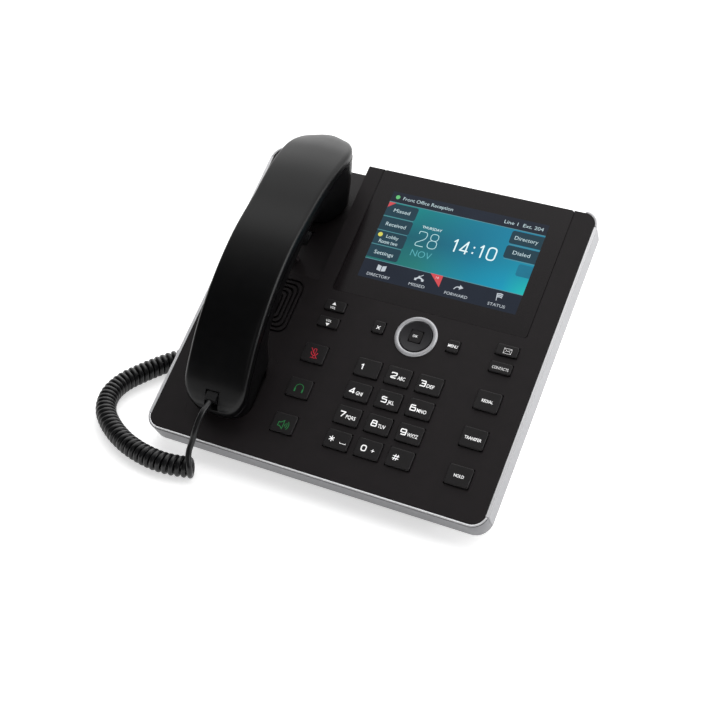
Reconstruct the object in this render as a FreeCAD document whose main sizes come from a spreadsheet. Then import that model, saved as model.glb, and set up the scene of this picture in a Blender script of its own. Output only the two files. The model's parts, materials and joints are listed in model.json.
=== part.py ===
import FreeCAD, Part
import math
import os

import Sketcher
from FreeCAD import Placement, Rotation, Vector

# Desk IP phone. Row frame: +X right, +Y away from the user, +Z up, origin on the desk in the
# middle of the footprint. Most pieces are drawn in the face frame instead: x to the right and
# v up the slope from the lower left corner of the black face, and n out of the face.

SIZES = {
    "tilt": 32.7,
    "footprint_depth": 195.6,
    "face_lift": 16.5,
    "face_wide": 228.1,
    "face_long": 214.3,
    "corner": 8.5,
    "plate": 3.0,
    "rim_lip": 1.9,
    "rim_deep": 15.5,
    "rim_wall": 1.6,
    "rim_low_end": 7.0,
    "rim_high_end": 206.0,
    "cap_inset": 8.4,
    "gap": 0.35,
    "lens_wide": 132.0,
    "lens_long": 93.0,
    "lens_thick": 1.5,
    "lens_left": 80.8,
    "lens_low": 121.3,
    "lcd_wide": 120.7,
    "lcd_long": 76.0,
    "lcd_thick": 4.5,
    "window_wide": 112.0,
    "window_long": 69.0,
    "screen_x": 146.75,
    "screen_v": 167.55,
    "key_up": 1.5,
    "key_skirt": 0.8,
    "key_skirt_thick": 1.0,
    "key_top": -3.3,
    "key_round": 1.3,
    "key_edge": 0.5,
    "digit_wide": 16.0,
    "digit_long": 11.8,
    "action_wide": 15.2,
    "action_long": 12.6,
    "bar_wide": 13.9,
    "bar_long": 7.0,
    "cancel_wide": 7.6,
    "cancel_long": 7.9,
    "nav_x": 146.6,
    "nav_v": 103.8,
    "nav_outer": 13.75,
    "nav_inner": 10.8,
    "nav_up": 1.4,
    "nav_gap": 0.45,
    "nav_up_disc": 0.9,
    "nav_bevel": 0.9,
    "nav_low": -4.3,
    "dish_ball": 70.0,
    "dish_sink": 0.7,
    "ok_wide": 7.8,
    "ok_gap": 0.4,
    "ok_thick": 5.0,
    "gimbal_low": -5.35,
    "gimbal_thick": 0.6,
    "gimbal_radius": 7.4,
    "pivot_radius": 0.33,
    "pivot_start": 5.8,
    "pivot_long": 2.2,
    "membrane_top": -5.8,
    "membrane_thick": 1.0,
    "keys_left": 76.0,
    "keys_low": 12.0,
    "keys_wide": 144.0,
    "keys_long": 107.0,
    "board_thick": 1.6,
    "grille_x": 45.0,
    "grille_v": 101.6,
    "grille_wide": 39.0,
    "grille_long": 42.0,
    "grille_thick": 2.6,
    "grille_corner": 7.0,
    "groove_wide": 1.3,
    "groove_pitch": 2.9,
    "groove_first": 1.7,
    "groove_deep": 1.4,
    "speaker_radius": 17.0,
    "speaker_back": 13.0,
    "speaker_thick": 10.2,
    "cradle_left": 20.5,
    "cradle_right": 69.5,
    "cradle_start": 125.0,
    "cradle_deep": 13.4,
    "cradle_floor": 1.8,
    "well_low": 11.5,
    "well_long": 54.0,
    "well_wide": 49.0,
    "well_deep": 2.5,
    "tub_wall": 2.0,
    "cover_left": 28.0,
    "cover_wide": 172.0,
    "cover_wall": 2.2,
    "cover_back": 42.0,
    "cover_front_y": 15.0,
    "port_wall_y": 110.0,
    "cover_lift": 2.6,
    "cover_top_v": 203.0,
    "stand_half": 62.0,
    "cheek": 3.5,
    "foot_radius": 6.0,
    "grip_x": 45.0,
    "grip_half": 22.0,
    "grip_low": 15.6,
    "grip_wall": 2.2,
    "grip_edge": 2.0,
    "mouth_corner": 15.0,
    "parting": 11.0,
    "notch_half": 4.8,
    "notch_low": 13.6,
    "notch_high": 35.6,
    "notch_end": 26.0,
    "plug_half": 3.8,
    "plug_low": 15.2,
    "plug_thick": 6.0,
    "plug_long": 6.0,
    "ear_radius": 15.0,
    "ear_v": 180.5,
    "mouth_radius": 13.0,
    "mouth_v": 41.0,
    "cap_thick": 1.6,
    "cap_gap": 0.1,
    "receiver_radius": 13.5,
    "receiver_thick": 8.0,
    "mic_radius": 4.8,
    "mic_thick": 5.0,
    "weight_wide": 22.0,
    "weight_long": 46.0,
    "weight_thick": 6.0,
    "weight_v": 111.0,
    "weight_n": 31.0,
    "lead_across": 3.8,
    "coil_across": 14.0,
    "base_plug_long": 21.5,
    "base_plug_wide": 7.6,
    "base_plug_thick": 5.8,
    "screw_head": 2.8,
    "screw_shank": 1.2,
}

# Keys by place and kind: name, x, v, kind.
COLUMNS = (125.4, 146.1, 166.9)
ROWS = (75.0, 58.4, 41.6, 25.1)
DIGITS = ("1", "2", "3", "4", "5", "6", "7", "8", "9", "star", "0", "hash")
OTHER_KEYS = (
    ("mute_key", 88.2, 75.0, "action"),
    ("headset_key", 88.2, 50.2, "action"),
    ("speaker_key", 88.2, 25.4, "action"),
    ("redial_key", 204.8, 75.0, "action"),
    ("transfer_key", 204.8, 50.2, "action"),
    ("hold_key", 204.8, 25.4, "action"),
    ("volume_up_key", 88.3, 109.9, "bar"),
    ("volume_down_key", 88.3, 97.9, "bar"),
    ("voicemail_key", 204.8, 109.9, "bar"),
    ("contacts_key", 204.8, 97.9, "bar"),
    ("menu_key", 171.7, 103.6, "cancel"),
    ("cancel_key", 121.4, 103.4, "cancel"),
)

doc = FreeCAD.newDocument("desk_phone")
sheet = doc.addObject("Spreadsheet::Sheet", "spec")
PARTS = []


def fill_sheet():
    for row, (alias, value) in enumerate(SIZES.items(), start=1):
        sheet.set("A%d" % row, alias)
        sheet.set("B%d" % row, str(value))
        sheet.setAlias("B%d" % row, alias)
    doc.recompute()


def size(alias):
    return float(sheet.get(alias))


def bind(thing, **expressions):
    """Bind properties of an object to sheet cells; a cell is written without its sheet's name."""
    for prop, text in expressions.items():
        thing.setExpression(prop, text)


def face_placement():
    tilt = size("tilt")
    front = -size("footprint_depth") / 2 + size("rim_lip") * math.cos(math.radians(tilt))
    corner = Vector(-size("face_wide") / 2, front, size("face_lift"))
    return Placement(corner, Rotation(Vector(1, 0, 0), tilt))


def on_face(x=0.0, v=0.0, n=0.0):
    return face_placement().multiply(Placement(Vector(x, v, n), Rotation()))


def keep(thing, label):
    """Name a finished sub-part and put it on the list of those that are exported."""
    thing.Label = label
    PARTS.append(thing)
    return thing


# ---------------------------------------------------------------- sketches and bodies


def body_at(name, placement):
    body = doc.addObject("PartDesign::Body", name)
    body.Placement = placement
    return body


def flat_sketch(body, name, level):
    """A sketch parallel to the body's own XY plane, at a height given by an expression."""
    sketch = body.newObject("Sketcher::SketchObject", name)
    plane = next(f for f in body.Origin.OriginFeatures if f.Role == "XY_Plane")
    sketch.AttachmentSupport = [(plane, "")]
    sketch.MapMode = "FlatFace"
    sketch.setExpression(".AttachmentOffset.Base.z", level)
    return sketch


def rectangle(sketch, wide, long):
    """A rectangle centred on the sketch's origin, its two sizes bound to expressions."""
    corners = [Vector(-5, -4, 0), Vector(5, -4, 0), Vector(5, 4, 0), Vector(-5, 4, 0)]
    for i in range(4):
        sketch.addGeometry(Part.LineSegment(corners[i], corners[(i + 1) % 4]), False)
    for i in range(4):
        sketch.addConstraint(Sketcher.Constraint("Coincident", i, 2, (i + 1) % 4, 1))
    for i in (0, 2):
        sketch.addConstraint(Sketcher.Constraint("Horizontal", i))
    for i in (1, 3):
        sketch.addConstraint(Sketcher.Constraint("Vertical", i))
    sketch.addConstraint(Sketcher.Constraint("Symmetric", 0, 1, 1, 2, -1, 1))
    for name, line, kind, text in (("wide", 0, "DistanceX", wide), ("long", 1, "DistanceY", long)):
        index = sketch.addConstraint(Sketcher.Constraint(kind, line, 1, line, 2, 10.0))
        sketch.renameConstraint(index, name)
        sketch.setExpression("Constraints." + name, text)
    return sketch


def pad(body, sketch, name, length):
    feature = body.newObject("PartDesign::Pad", name)
    feature.Profile = sketch
    bind(feature, Length=length)
    sketch.Visibility = False
    return feature


def upright(edge):
    ends = [v.Point for v in edge.Vertexes]
    return len(ends) == 2 and abs(ends[0].x - ends[1].x) + abs(ends[0].y - ends[1].y) < 1e-6


def at_level(height):
    return lambda edge: all(abs(v.Point.z - height) < 1e-6 for v in edge.Vertexes)


def rounded(body, base, name, radius, test, kind="PartDesign::Fillet"):
    """Fillet or chamfer those edges of the base that pass the test."""
    doc.recompute()
    edges = ["Edge%d" % (i + 1) for i, e in enumerate(base.Shape.Edges) if test(e)]
    feature = body.newObject(kind, name)
    feature.Base = (base, edges)
    bind(feature, **{"Radius" if kind.endswith("Fillet") else "Size": radius})
    return feature


def block(name, placement, wide, long, low, thick, corner=None):
    """A rectangular body centred on its placement, with rounded upright corners if asked."""
    body = body_at(name, placement)
    plan = rectangle(flat_sketch(body, name + "_plan", low), wide, long)
    feature = pad(body, plan, name + "_pad", thick)
    if corner:
        rounded(body, feature, name + "_corners", corner, upright)
    return body


def box(name, placement, length, width, height):
    thing = doc.addObject("Part::Box", name)
    bind(thing, Length=length, Width=width, Height=height)
    thing.Placement = placement
    return thing


def cylinder(name, placement, radius, height):
    thing = doc.addObject("Part::Cylinder", name)
    bind(thing, Radius=radius, Height=height)
    thing.Placement = placement
    return thing


def cut(name, base, tool):
    thing = doc.addObject("Part::Cut", name)
    thing.Base, thing.Tool = base, tool
    return thing


def common(name, base, tool):
    thing = doc.addObject("Part::Common", name)
    thing.Base, thing.Tool = base, tool
    return thing


def fuse(name, things):
    thing = doc.addObject("Part::MultiFuse", name)
    thing.Shapes = list(things)
    return thing


def shaped(name, shape, placement=None):
    """A piece whose shape is worked out directly, in the face frame unless placed otherwise."""
    thing = doc.addObject("Part::Feature", name)
    thing.Shape = shape
    frame = placement if placement else face_placement()
    thing.Placement = frame.multiply(shape.Placement)
    return thing


def side_face(points):
    """A closed straight-sided outline in the plane x = 0, from (along, up) points."""
    corners = [Vector(0, a, b) for a, b in points]
    return Part.Face(Part.makePolygon(corners + corners[:1]))


def side_prism(points, left, wide):
    prism = side_face(points).extrude(Vector(wide, 0, 0))
    prism.translate(Vector(left, 0, 0))
    return prism


# ---------------------------------------------------------------- keys


def all_keys():
    keys = []
    for i, digit in enumerate(DIGITS):
        keys.append(("key_" + digit, COLUMNS[i % 3], ROWS[i // 3], "digit"))
    return keys + list(OTHER_KEYS)


def make_key(name, x, v, kind):
    """A cap that stands out of the face, over a wider skirt that stays behind it."""
    wide, long = "spec.%s_wide" % kind, "spec.%s_long" % kind
    body = body_at(name + "_body", on_face(x, v))
    bottom = "spec.key_top - spec.key_skirt_thick"
    sketch = rectangle(flat_sketch(body, name + "_cap_plan", bottom), wide, long)
    cap = pad(body, sketch, name + "_cap", "spec.key_up - spec.key_top + spec.key_skirt_thick")
    corners = rounded(body, cap, name + "_corners", "spec.key_round", upright)
    rounded(body, corners, name + "_edge", "spec.key_edge", at_level(size("key_up")))
    skirt_wide, skirt_long = (text + " + 2 * spec.key_skirt" for text in (wide, long))
    sketch = rectangle(flat_sketch(body, name + "_skirt_plan", bottom), skirt_wide, skirt_long)
    pad(body, sketch, name + "_skirt", "spec.key_skirt_thick")
    keep(body, name)


def key_hole(name, x, v, kind):
    """The cutter for one key's hole, the gap wider than its cap all round."""
    hole = box(
        name + "_hole",
        Placement(),
        "spec.%s_wide + 2 * spec.gap" % kind,
        "spec.%s_long + 2 * spec.gap" % kind,
        "spec.plate + 2",
    )
    wide, long = (size("%s_%s" % (kind, way)) + 2 * size("gap") for way in ("wide", "long"))
    hole.Placement = on_face(x - wide / 2, v - long / 2, -size("plate") - 1)
    return hole


def make_navigator():
    """A fixed silver ring, a dished disc that rocks inside it on a gimbal, and a key in its middle."""
    x, v = size("nav_x"), size("nav_v")
    plate, up = size("plate"), size("nav_up")
    outer = cylinder("ring_outer", on_face(x, v, -plate), "spec.nav_outer", "spec.plate + spec.nav_up")
    through = "spec.plate + spec.nav_up + 2"
    inner = cylinder("ring_inner", on_face(x, v, -plate - 1), "spec.nav_inner", through)
    ring = cut("ring_body", outer, inner)
    doc.recompute()
    bevel = doc.addObject("Part::Chamfer", "ring_bevel")
    bevel.Base = ring
    top = on_face(x, v, up).inverse()
    rims = [
        i + 1
        for i, e in enumerate(ring.Shape.Edges)
        if all(abs(top.multVec(p.Point).z) < 1e-6 for p in e.Vertexes)
    ]
    bevel.Edges = [(i, size("nav_bevel"), size("nav_bevel")) for i in rims]
    keep(bevel, "nav_ring")

    low, radius = size("nav_low"), "spec.nav_inner - spec.nav_gap"
    disc = cylinder("disc_round", on_face(x, v, low), radius, "spec.nav_up_disc - spec.nav_low")
    ball = doc.addObject("Part::Sphere", "disc_dish")
    bind(ball, Radius="spec.dish_ball")
    ball.Placement = on_face(x, v, size("dish_ball") + size("nav_up_disc") - size("dish_sink"))
    hole_wide = "spec.ok_wide + 2 * spec.ok_gap"
    half = size("ok_wide") / 2 + size("ok_gap")
    hole = box("disc_hole", on_face(x - half, v - half, -6), hole_wide, hole_wide, "10")
    keep(cut("disc_body", cut("disc_dished", disc, ball), hole), "nav_disc")
    ok_wide = "spec.ok_wide"
    ok = block("ok_body", on_face(x, v), ok_wide, ok_wide, "spec.nav_low", "spec.ok_thick", "1.6")
    keep(ok, "ok_key")
    gimbal_at = on_face(x, v, size("gimbal_low"))
    post = cylinder("gimbal_body", gimbal_at, "spec.gimbal_radius", "spec.gimbal_thick")
    well = box("gimbal_hole", on_face(x - half, v - half, -6), hole_wide, hole_wide, "10")
    keep(fuse("gimbal_solid", [cut("gimbal_cut", post, well)] + gimbal_pivots()), "nav_gimbal")


def gimbal_pivots():
    """Four round pins on the gimbal's two tilting axes."""
    radius, long, start = size("pivot_radius"), size("pivot_long"), size("pivot_start")
    at = on_face(size("nav_x"), size("nav_v"), size("gimbal_low") + size("gimbal_thick") / 2)
    pins = []
    for axis, along in (("x", Vector(1, 0, 0)), ("v", Vector(0, 1, 0))):
        for side in (1, -1):
            pin = Part.makeCylinder(radius, long, along * (start * side), along * side)
            pins.append(shaped("pivot_%s_%s" % (axis, "high" if side > 0 else "low"), pin, at))
    return pins


def make_keyboard():
    """The silicone mat and the contact board that lie behind the keys."""
    x = size("keys_left") + size("keys_wide") / 2
    v = size("keys_low") + size("keys_long") / 2
    top = "spec.membrane_top - spec.membrane_thick"
    wide, long = "spec.keys_wide", "spec.keys_long"
    keep(block("mat_body", on_face(x, v), wide, long, top, "spec.membrane_thick", "3"), "keypad_mat")
    low = top + " - spec.board_thick"
    board = block("contacts_body", on_face(x, v), wide, long, low, "spec.board_thick", "2")
    keep(board, "keypad_board")


# ---------------------------------------------------------------- front


def cradle_profile(extra, drop):
    """Side outline of the wedge that the ear end lies in, from the ramp's start to past the top edge."""
    start, top, deep = size("cradle_start"), size("face_long") + extra, size("cradle_deep")
    slope = deep / (size("face_long") - start)
    return [(start, -drop), (top, -slope * (top - start) - drop), (top, 5), (start, 5)]


def cradle_cutter(inset, drop, extra):
    left = size("cradle_left") - inset
    wide = size("cradle_right") - size("cradle_left") + 2 * inset
    return side_prism(cradle_profile(extra, drop), left, wide)


def top_wall():
    """The black wall along the slab's top edge, between the corner caps."""
    high, thick, deep = size("face_long"), size("rim_wall"), size("rim_deep")
    outline = [(high - thick, -deep), (high, -deep), (high, -1), (high - thick, -1)]
    return side_prism(outline, size("cap_inset"), size("face_wide") - 2 * size("cap_inset"))


def cover_solid():
    """The face plate with the tubs that hang behind it round the cradle and the mouth cup's well."""
    x, v = size("face_wide") / 2, size("face_long") / 2
    wide, long, plate = "spec.face_wide", "spec.face_long", "spec.plate"
    plate = block("plate_body", on_face(x, v), wide, long, "-spec.plate", plate, "spec.corner")
    floor = size("cradle_floor")
    tub = cradle_cutter(floor, floor, 0.0)
    face_block = Part.makeBox(size("face_wide"), size("face_long"), 30, Vector(0, 0, -30))
    tub_shell = shaped("cradle_tub", tub.common(face_block).multiFuse([top_wall()] + hook_bosses()))
    well_tub = block("well_tub", well_middle(), "spec.well_wide + 2 * spec.tub_wall",
                     "spec.well_long + 2 * spec.tub_wall", "-spec.well_deep - spec.tub_wall",
                     "spec.well_deep + spec.tub_wall - 0.5", "9")
    return fuse("cover_solid", [plate, tub_shell, well_tub])


def well_middle():
    return on_face(size("grip_x"), size("well_low") + size("well_long") / 2)


def lens_middle():
    return size("lens_left") + size("lens_wide") / 2, size("lens_low") + size("lens_long") / 2


def lens_seat():
    """The cutter for the sunken seat of the display's glass."""
    x, v = lens_middle()
    return block("lens_seat", on_face(x, v + size("gap") / 2), "spec.lens_wide + 2 * spec.gap",
                 "spec.lens_long + spec.gap + 0.2", "-spec.lens_thick - 0.1", "5", "2")


def through_hole(name, x, v, wide, long, corner):
    return block(name, on_face(x, v), wide, long, "-10", "20", corner)


def make_front_cover():
    cradle = shaped("cradle_cut", cradle_cutter(0.0, 0.0, 5.0))
    well = block("well_cut", well_middle(), "spec.well_wide", "spec.well_long",
                 "-spec.well_deep", "spec.well_deep + 2", "8")
    window = through_hole("window_cut", size("screen_x"), size("screen_v"),
                          "spec.window_wide", "spec.window_long", "1")
    grille = through_hole("grille_hole", size("grille_x"), size("grille_v"),
                          "spec.grille_wide", "spec.grille_long", "spec.grille_corner")
    hole = cylinder("nav_hole", on_face(size("nav_x"), size("nav_v"), -10), "spec.nav_outer", "20")
    lever = box("lever_slot", on_face(*LEVER_SLOT, -20), "9", "12", "30")
    tab = box("tab_slot", on_face(*TAB_SLOT, -20), "10.4", "3.4", "30")
    holes = [key_hole(*key) for key in all_keys()]
    cutters = fuse("cover_cuts", [cradle, well, lens_seat(), window, hole, grille, lever, tab] + holes)
    keep(cut("cover_body", cover_solid(), cutters), "front_cover")


def make_display():
    lens = block("lens_body", on_face(*lens_middle()), "spec.lens_wide", "spec.lens_long",
                 "-spec.lens_thick", "spec.lens_thick", "2")
    keep(lens, "display_lens")
    at = on_face(size("screen_x"), size("screen_v"))
    low = "-spec.plate - 0.1 - spec.lcd_thick"
    keep(block("lcd_body", at, "spec.lcd_wide", "spec.lcd_long", low, "spec.lcd_thick", "1"), "lcd_module")


def grille_groove(index):
    """The cutter for one of the grille's concentric rounded grooves, the outermost first."""
    wide, long, groove = size("grille_wide"), size("grille_long"), size("groove_wide")
    inset = size("groove_first") + size("groove_pitch") * index
    corner = size("grille_corner") - inset * 0.35
    deep = size("groove_deep")
    outer = rounded_prism(wide - 2 * inset, long - 2 * inset, max(corner, 1.2), -deep, 1.0)
    inset += groove
    inner = rounded_prism(wide - 2 * inset, long - 2 * inset, max(corner - 0.8, 0.8), -deep - 0.6, 2.0)
    return outer.cut(inner)


def make_grille():
    """The loudspeaker behind its grille, a plate with concentric grooves sunk into it."""
    plate = rounded_prism(size("grille_wide"), size("grille_long"), size("grille_corner"),
                          -size("grille_thick"), 0.0)
    for index in range(6):
        plate = plate.cut(grille_groove(index))
    keep(shaped("grille_body", plate, on_face(size("grille_x"), size("grille_v"))), "speaker_grille")
    at = on_face(size("grille_x"), size("grille_v"), -size("speaker_back"))
    keep(cylinder("speaker_round", at, "spec.speaker_radius", "spec.speaker_thick"), "loudspeaker")


def rounded_prism(wide, long, corner, low, high):
    """A prism with rounded upright corners, centred on the origin."""
    prism = Part.makeBox(wide, long, high - low, Vector(-wide / 2, -long / 2, low))
    return prism.makeFillet(corner, [e for e in prism.Edges if upright(e)])


def make_rim():
    """The silver band around the slab: five pieces, open along the top edge."""
    x, v = size("face_wide") / 2, size("face_long") / 2
    lip_wide, lip_long = "spec.face_wide + 2 * spec.rim_lip", "spec.face_long + 2 * spec.rim_lip"
    outer = block("band_outer", on_face(x, v), lip_wide, lip_long, "-spec.rim_deep", "spec.rim_deep",
                  "spec.corner + spec.rim_lip")
    inner = block("band_inner", on_face(x, v), "spec.face_wide", "spec.face_long",
                  "-spec.rim_deep - 1", "spec.rim_deep + 2", "spec.corner")
    band = cut("band", outer, inner)
    low, high, inset = size("rim_low_end"), size("rim_high_end"), size("cap_inset")
    far, seam = size("face_wide") + 10, 0.12
    bottom = -size("rim_deep") - 5
    regions = {
        "rim_front": [(-10, -10, far + 10, low + 10)],
        "rim_sides": [(left, low + seam, 20, high - low - 2 * seam) for left in (-10, far - 20)],
        "corner_caps": [(left, high, inset + 10, 30) for left in (-10, far - 10 - inset)],
    }
    for name, areas in regions.items():
        boxes = []
        for i, (left, start, wide, long) in enumerate(areas):
            at = on_face(left, start, bottom)
            boxes.append(box("%s_region_%d" % (name, i), at, str(wide), str(long), "spec.rim_deep + 10"))
        region = fuse(name + "_regions", boxes) if len(boxes) > 1 else boxes[0]
        keep(common(name + "_body", band, region), name)


# ---------------------------------------------------------------- cradle pieces


# Where the hook lever turns, as (v, n), and the corners of the cradle's two slots, as (x, v).
HOOK_AXIS = (150.8, -8.4)
LEVER_SLOT = (40.5, 148.0)
TAB_SLOT = (39.8, 134.0)
HOOK_BLADE = (
    (149.0, -7.0), (157.0, -6.4), (158.4, -4.5), (158.4, -2.4), (157.4, -1.7), (156.0, -3.6),
    (149.0, -6.0),
)
HOOK_ARM = ((149.0, -7.0), (149.0, -13.0), (152.0, -13.0), (153.5, -7.6))
HANGING_TAB = ((134.2, -6.0), (137.2, -6.0), (137.2, 4.5), (135.6, 6.0), (134.2, 6.0))


def hook_round(radius, left, wide):
    """A round bar along the hook lever's pivot axis."""
    return Part.makeCylinder(radius, wide, Vector(left, *HOOK_AXIS), Vector(1, 0, 0))


def make_hook_parts():
    """The hook switch lever under the ear cup, with moulded pivots, and the little hanging tab."""
    lever = side_prism(HOOK_BLADE, 41.3, 7.4).fuse(side_prism(HOOK_ARM, 43.0, 4.0))
    lever = lever.fuse(hook_round(2.4, 41.3, 7.4)).fuse(hook_round(1.0, 38.2, 13.6))
    keep(shaped("lever_body", lever), "hook_lever")
    keep(shaped("tab_body", side_prism(HANGING_TAB, 40.0, 10.0)), "handset_tab")


def hook_bosses():
    """The two bearings under the cradle's floor that carry the lever's pivots."""
    bosses = []
    for left in (37.0, 49.8):
        boss = Part.makeBox(3.2, 6.6, 8.0, Vector(left, 147.5, -11.6))
        bosses.append(boss.cut(hook_round(1.05, 36.0, 18.0)))
    return bosses


# ---------------------------------------------------------------- housing behind


def slope_height(y, depth):
    """Height above the desk, y behind the face's corner, of the plane at a depth below the face."""
    tilt = math.radians(size("tilt"))
    return size("face_lift") + (y - depth * math.sin(tilt)) * math.tan(tilt) - depth * math.cos(tilt)


def slope_point(v, depth):
    tilt = math.radians(size("tilt"))
    return (v * math.cos(tilt) + depth * math.sin(tilt),
            size("face_lift") + v * math.sin(tilt) - depth * math.cos(tilt))


def cover_profile(inset):
    """Side outline of the rear cover: flat on the desk, a port wall, then parallel to the face."""
    deep, back = size("rim_deep") - 1.0, size("cover_back") - inset
    front, wall_y = size("cover_front_y") + inset, size("port_wall_y") - inset
    lift = size("cover_lift") + inset
    top_v = size("cover_top_v") - inset
    return [
        (front, slope_height(front, deep)),
        (front, lift),
        (wall_y, lift),
        (wall_y, slope_height(wall_y, back)),
        slope_point(top_v, back),
        slope_point(top_v, deep),
    ]


def desk_placement():
    """A frame with axes along the row's, at the foot of the face's lower left corner."""
    base = face_placement().Base
    return Placement(Vector(base.x, base.y, 0), Rotation())


def vent(x):
    """The cutter for one ventilation slot in the sloping back."""
    slot = Part.makeBox(2.4, 24, 8, Vector(x, 150, -size("cover_back") - 4))
    slot.Placement = Placement(Vector(0, 0, size("face_lift")), Rotation(Vector(1, 0, 0), size("tilt")))
    return slot


def make_rear_cover():
    left, wide, wall = size("cover_left"), size("cover_wide"), size("cover_wall")
    outer = side_prism(cover_profile(0.0), left, wide)
    tilt = math.radians(size("tilt"))
    inner = side_prism(cover_profile(wall), left + wall, wide - 2 * wall)
    lifted = inner.copy()
    lifted.translate(Vector(0, -math.sin(tilt) * 4, math.cos(tilt) * 4))
    hull = outer.cut(inner).cut(lifted)
    tools = []
    for x, across, tall in port_places():
        tools.append(Part.makeBox(across + 0.2, 12, tall + 0.2,
                                  Vector(x - across / 2 - 0.1, size("port_wall_y") - 6, PORT_Z - 0.1)))
    for i in range(8):
        for first in (36.0, 157.0):
            tools.append(vent(first + 5.0 * i))
    for y in AUDIO_JACKS:
        tools.append(Part.makeBox(8, 9.2, 8.2, Vector(left - 1, y - 4.6, JACK_Z - 4.1)))
    plain = shaped("cover_hull", hull.cut(Part.makeCompound(tools)), desk_placement())
    back = shaped("cover_back_plate", back_plate())
    keep(fuse("rear_cover_body", [plain, back]), "rear_cover")


def back_plate():
    """The flat back of the slab inside the rim, open over the deep part and under the cradle."""
    wide, long, deep = size("face_wide") - 0.4, size("face_long") - size("rim_wall") - 0.4, size("rim_deep")
    plate = rounded_prism(wide, long, size("corner"), -deep, -deep + 1.9)
    plate = plate.translated(Vector(size("face_wide") / 2, 0.2 + long / 2, 0))
    left, wall = size("cover_left"), size("cover_wall")
    deep_part = Part.makeBox(size("cover_wide") - 2 * wall, 170, 10, Vector(left + wall, 26, -20))
    cradle = Part.makeBox(53.6, 60, 10, Vector(18.2, 178, -20))
    return plate.cut(deep_part).cut(cradle)


AUDIO_JACKS = (100.0, 62.0)
JACK_Z = 12.0
PORT_Z = 6.8
PORTS = (("network", 66.0, 16.0, 14.0), ("network", 90.0, 16.0, 14.0), ("power_jack", 116.0, 9.0, 11.0))


def port_places():
    return [(x, across, tall) for _, x, across, tall in PORTS]


def make_ports():
    """Network and power sockets in the port wall, handset and headset sockets in the left wall."""
    wall = size("port_wall_y")
    network = []
    for name, x, across, tall in PORTS:
        shell = Part.makeBox(across, 18, tall, Vector(x - across / 2, wall - 17.6, PORT_Z))
        if name == "power_jack":
            hollow = Part.makeCylinder(3.2, 12, Vector(x, wall + 0.5, PORT_Z + tall / 2), Vector(0, -1, 0))
            pin = Part.makeCylinder(1.0, 11.2, Vector(x, wall - 1.0, PORT_Z + tall / 2), Vector(0, -1, 0))
            keep(shaped("power_body", shell.cut(hollow).fuse(pin), desk_placement()), name)
        else:
            mouth = Part.makeBox(11.8, 13, 6.8, Vector(x - 5.9, wall - 12.0, PORT_Z + 2.4))
            latch_slot = Part.makeBox(6.0, 13, 3.0, Vector(x - 3.0, wall - 12.0, PORT_Z + 9.0))
            network.append(shell.cut(mouth).cut(latch_slot))
    keep(shaped("network_body", Part.makeCompound(network), desk_placement()), "network_jacks")
    left, audio = size("cover_left"), []
    for y in AUDIO_JACKS:
        shell = Part.makeBox(15, 9, 8, Vector(left + 0.1, y - 4.5, JACK_Z - 4))
        audio.append(shell.cut(Part.makeBox(13, 7.8, 6.0, Vector(left - 1, y - 3.9, JACK_Z - 3))))
    keep(shaped("audio_body", Part.makeCompound(audio), desk_placement()), "audio_jacks")
    board = Part.makeBox(160, 78, size("board_thick"), Vector(left + 6, 24, 5.1))
    notch = Part.makeBox(20, 60, 10, Vector(left + 1, 50, 0))
    chips = [Part.makeBox(w, d, 2.0, Vector(x, y, 6.7)) for x, y, w, d in CHIPS]
    keep(shaped("board_body", board.cut(notch).multiFuse(chips), desk_placement()), "main_board")


CHIPS = ((96.0, 44.0, 17.0, 17.0), (126.0, 48.0, 12.0, 10.0), (150.0, 42.0, 14.0, 14.0))


def make_stand():
    """A rear leg: two cheeks under the slope, a back panel between them and a foot bar."""
    back, middle = size("cover_back") + 0.1, size("face_wide") / 2
    half, cheek = size("stand_half"), size("cheek")
    reach = size("footprint_depth") - size("rim_lip") * math.cos(math.radians(size("tilt")))
    lift = size("cover_lift")
    outline = [
        slope_point(122.0, back), (140, slope_height(140, back) - 16), (158, 26), (168, lift),
        (reach, lift), (reach, 12), (reach - 6, slope_height(reach - 12, back) - 22),
        slope_point(192.0, back),
    ]
    cheeks = [side_prism(outline, middle + side * half - cheek / 2, cheek) for side in (-1, 1)]
    bar = side_prism([(168, lift), (reach, lift), (reach, 12), (reach - 3, 14), (168, 8)],
                     middle - half, 2 * half)
    top = slope_point(191.5, back)
    panel_outline = [(reach - 3, 10), (reach, 10), (reach - 6, top[1] - 24), top,
                     (top[0] - 3, top[1] - 2), (reach - 9.5, top[1] - 24)]
    panel = side_prism(panel_outline, middle - half, 2 * half)
    window = Part.makeBox(56, 30, 20, Vector(middle - 28, reach - 20, 20))
    whole = cheeks[0].multiFuse([cheeks[1], bar, panel]).removeSplitter().cut(window)
    keep(shaped("stand_body", whole, desk_placement()), "stand")


def make_feet():
    """Four rubber feet, two under the housing and two under the leg."""
    reach = size("footprint_depth") - size("rim_lip") * math.cos(math.radians(size("tilt")))
    left, right = size("cover_left"), size("cover_left") + size("cover_wide")
    front, middle = size("cover_front_y") + 10, size("face_wide") / 2
    places = [(left + 14, front), (right - 14, front), (middle - 50, reach - 10), (middle + 50, reach - 10)]
    feet = [Part.makeCylinder(size("foot_radius"), size("cover_lift"), Vector(x, y, 0)) for x, y in places]
    keep(shaped("feet_body", Part.makeCompound(feet), desk_placement()), "rubber_feet")


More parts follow.
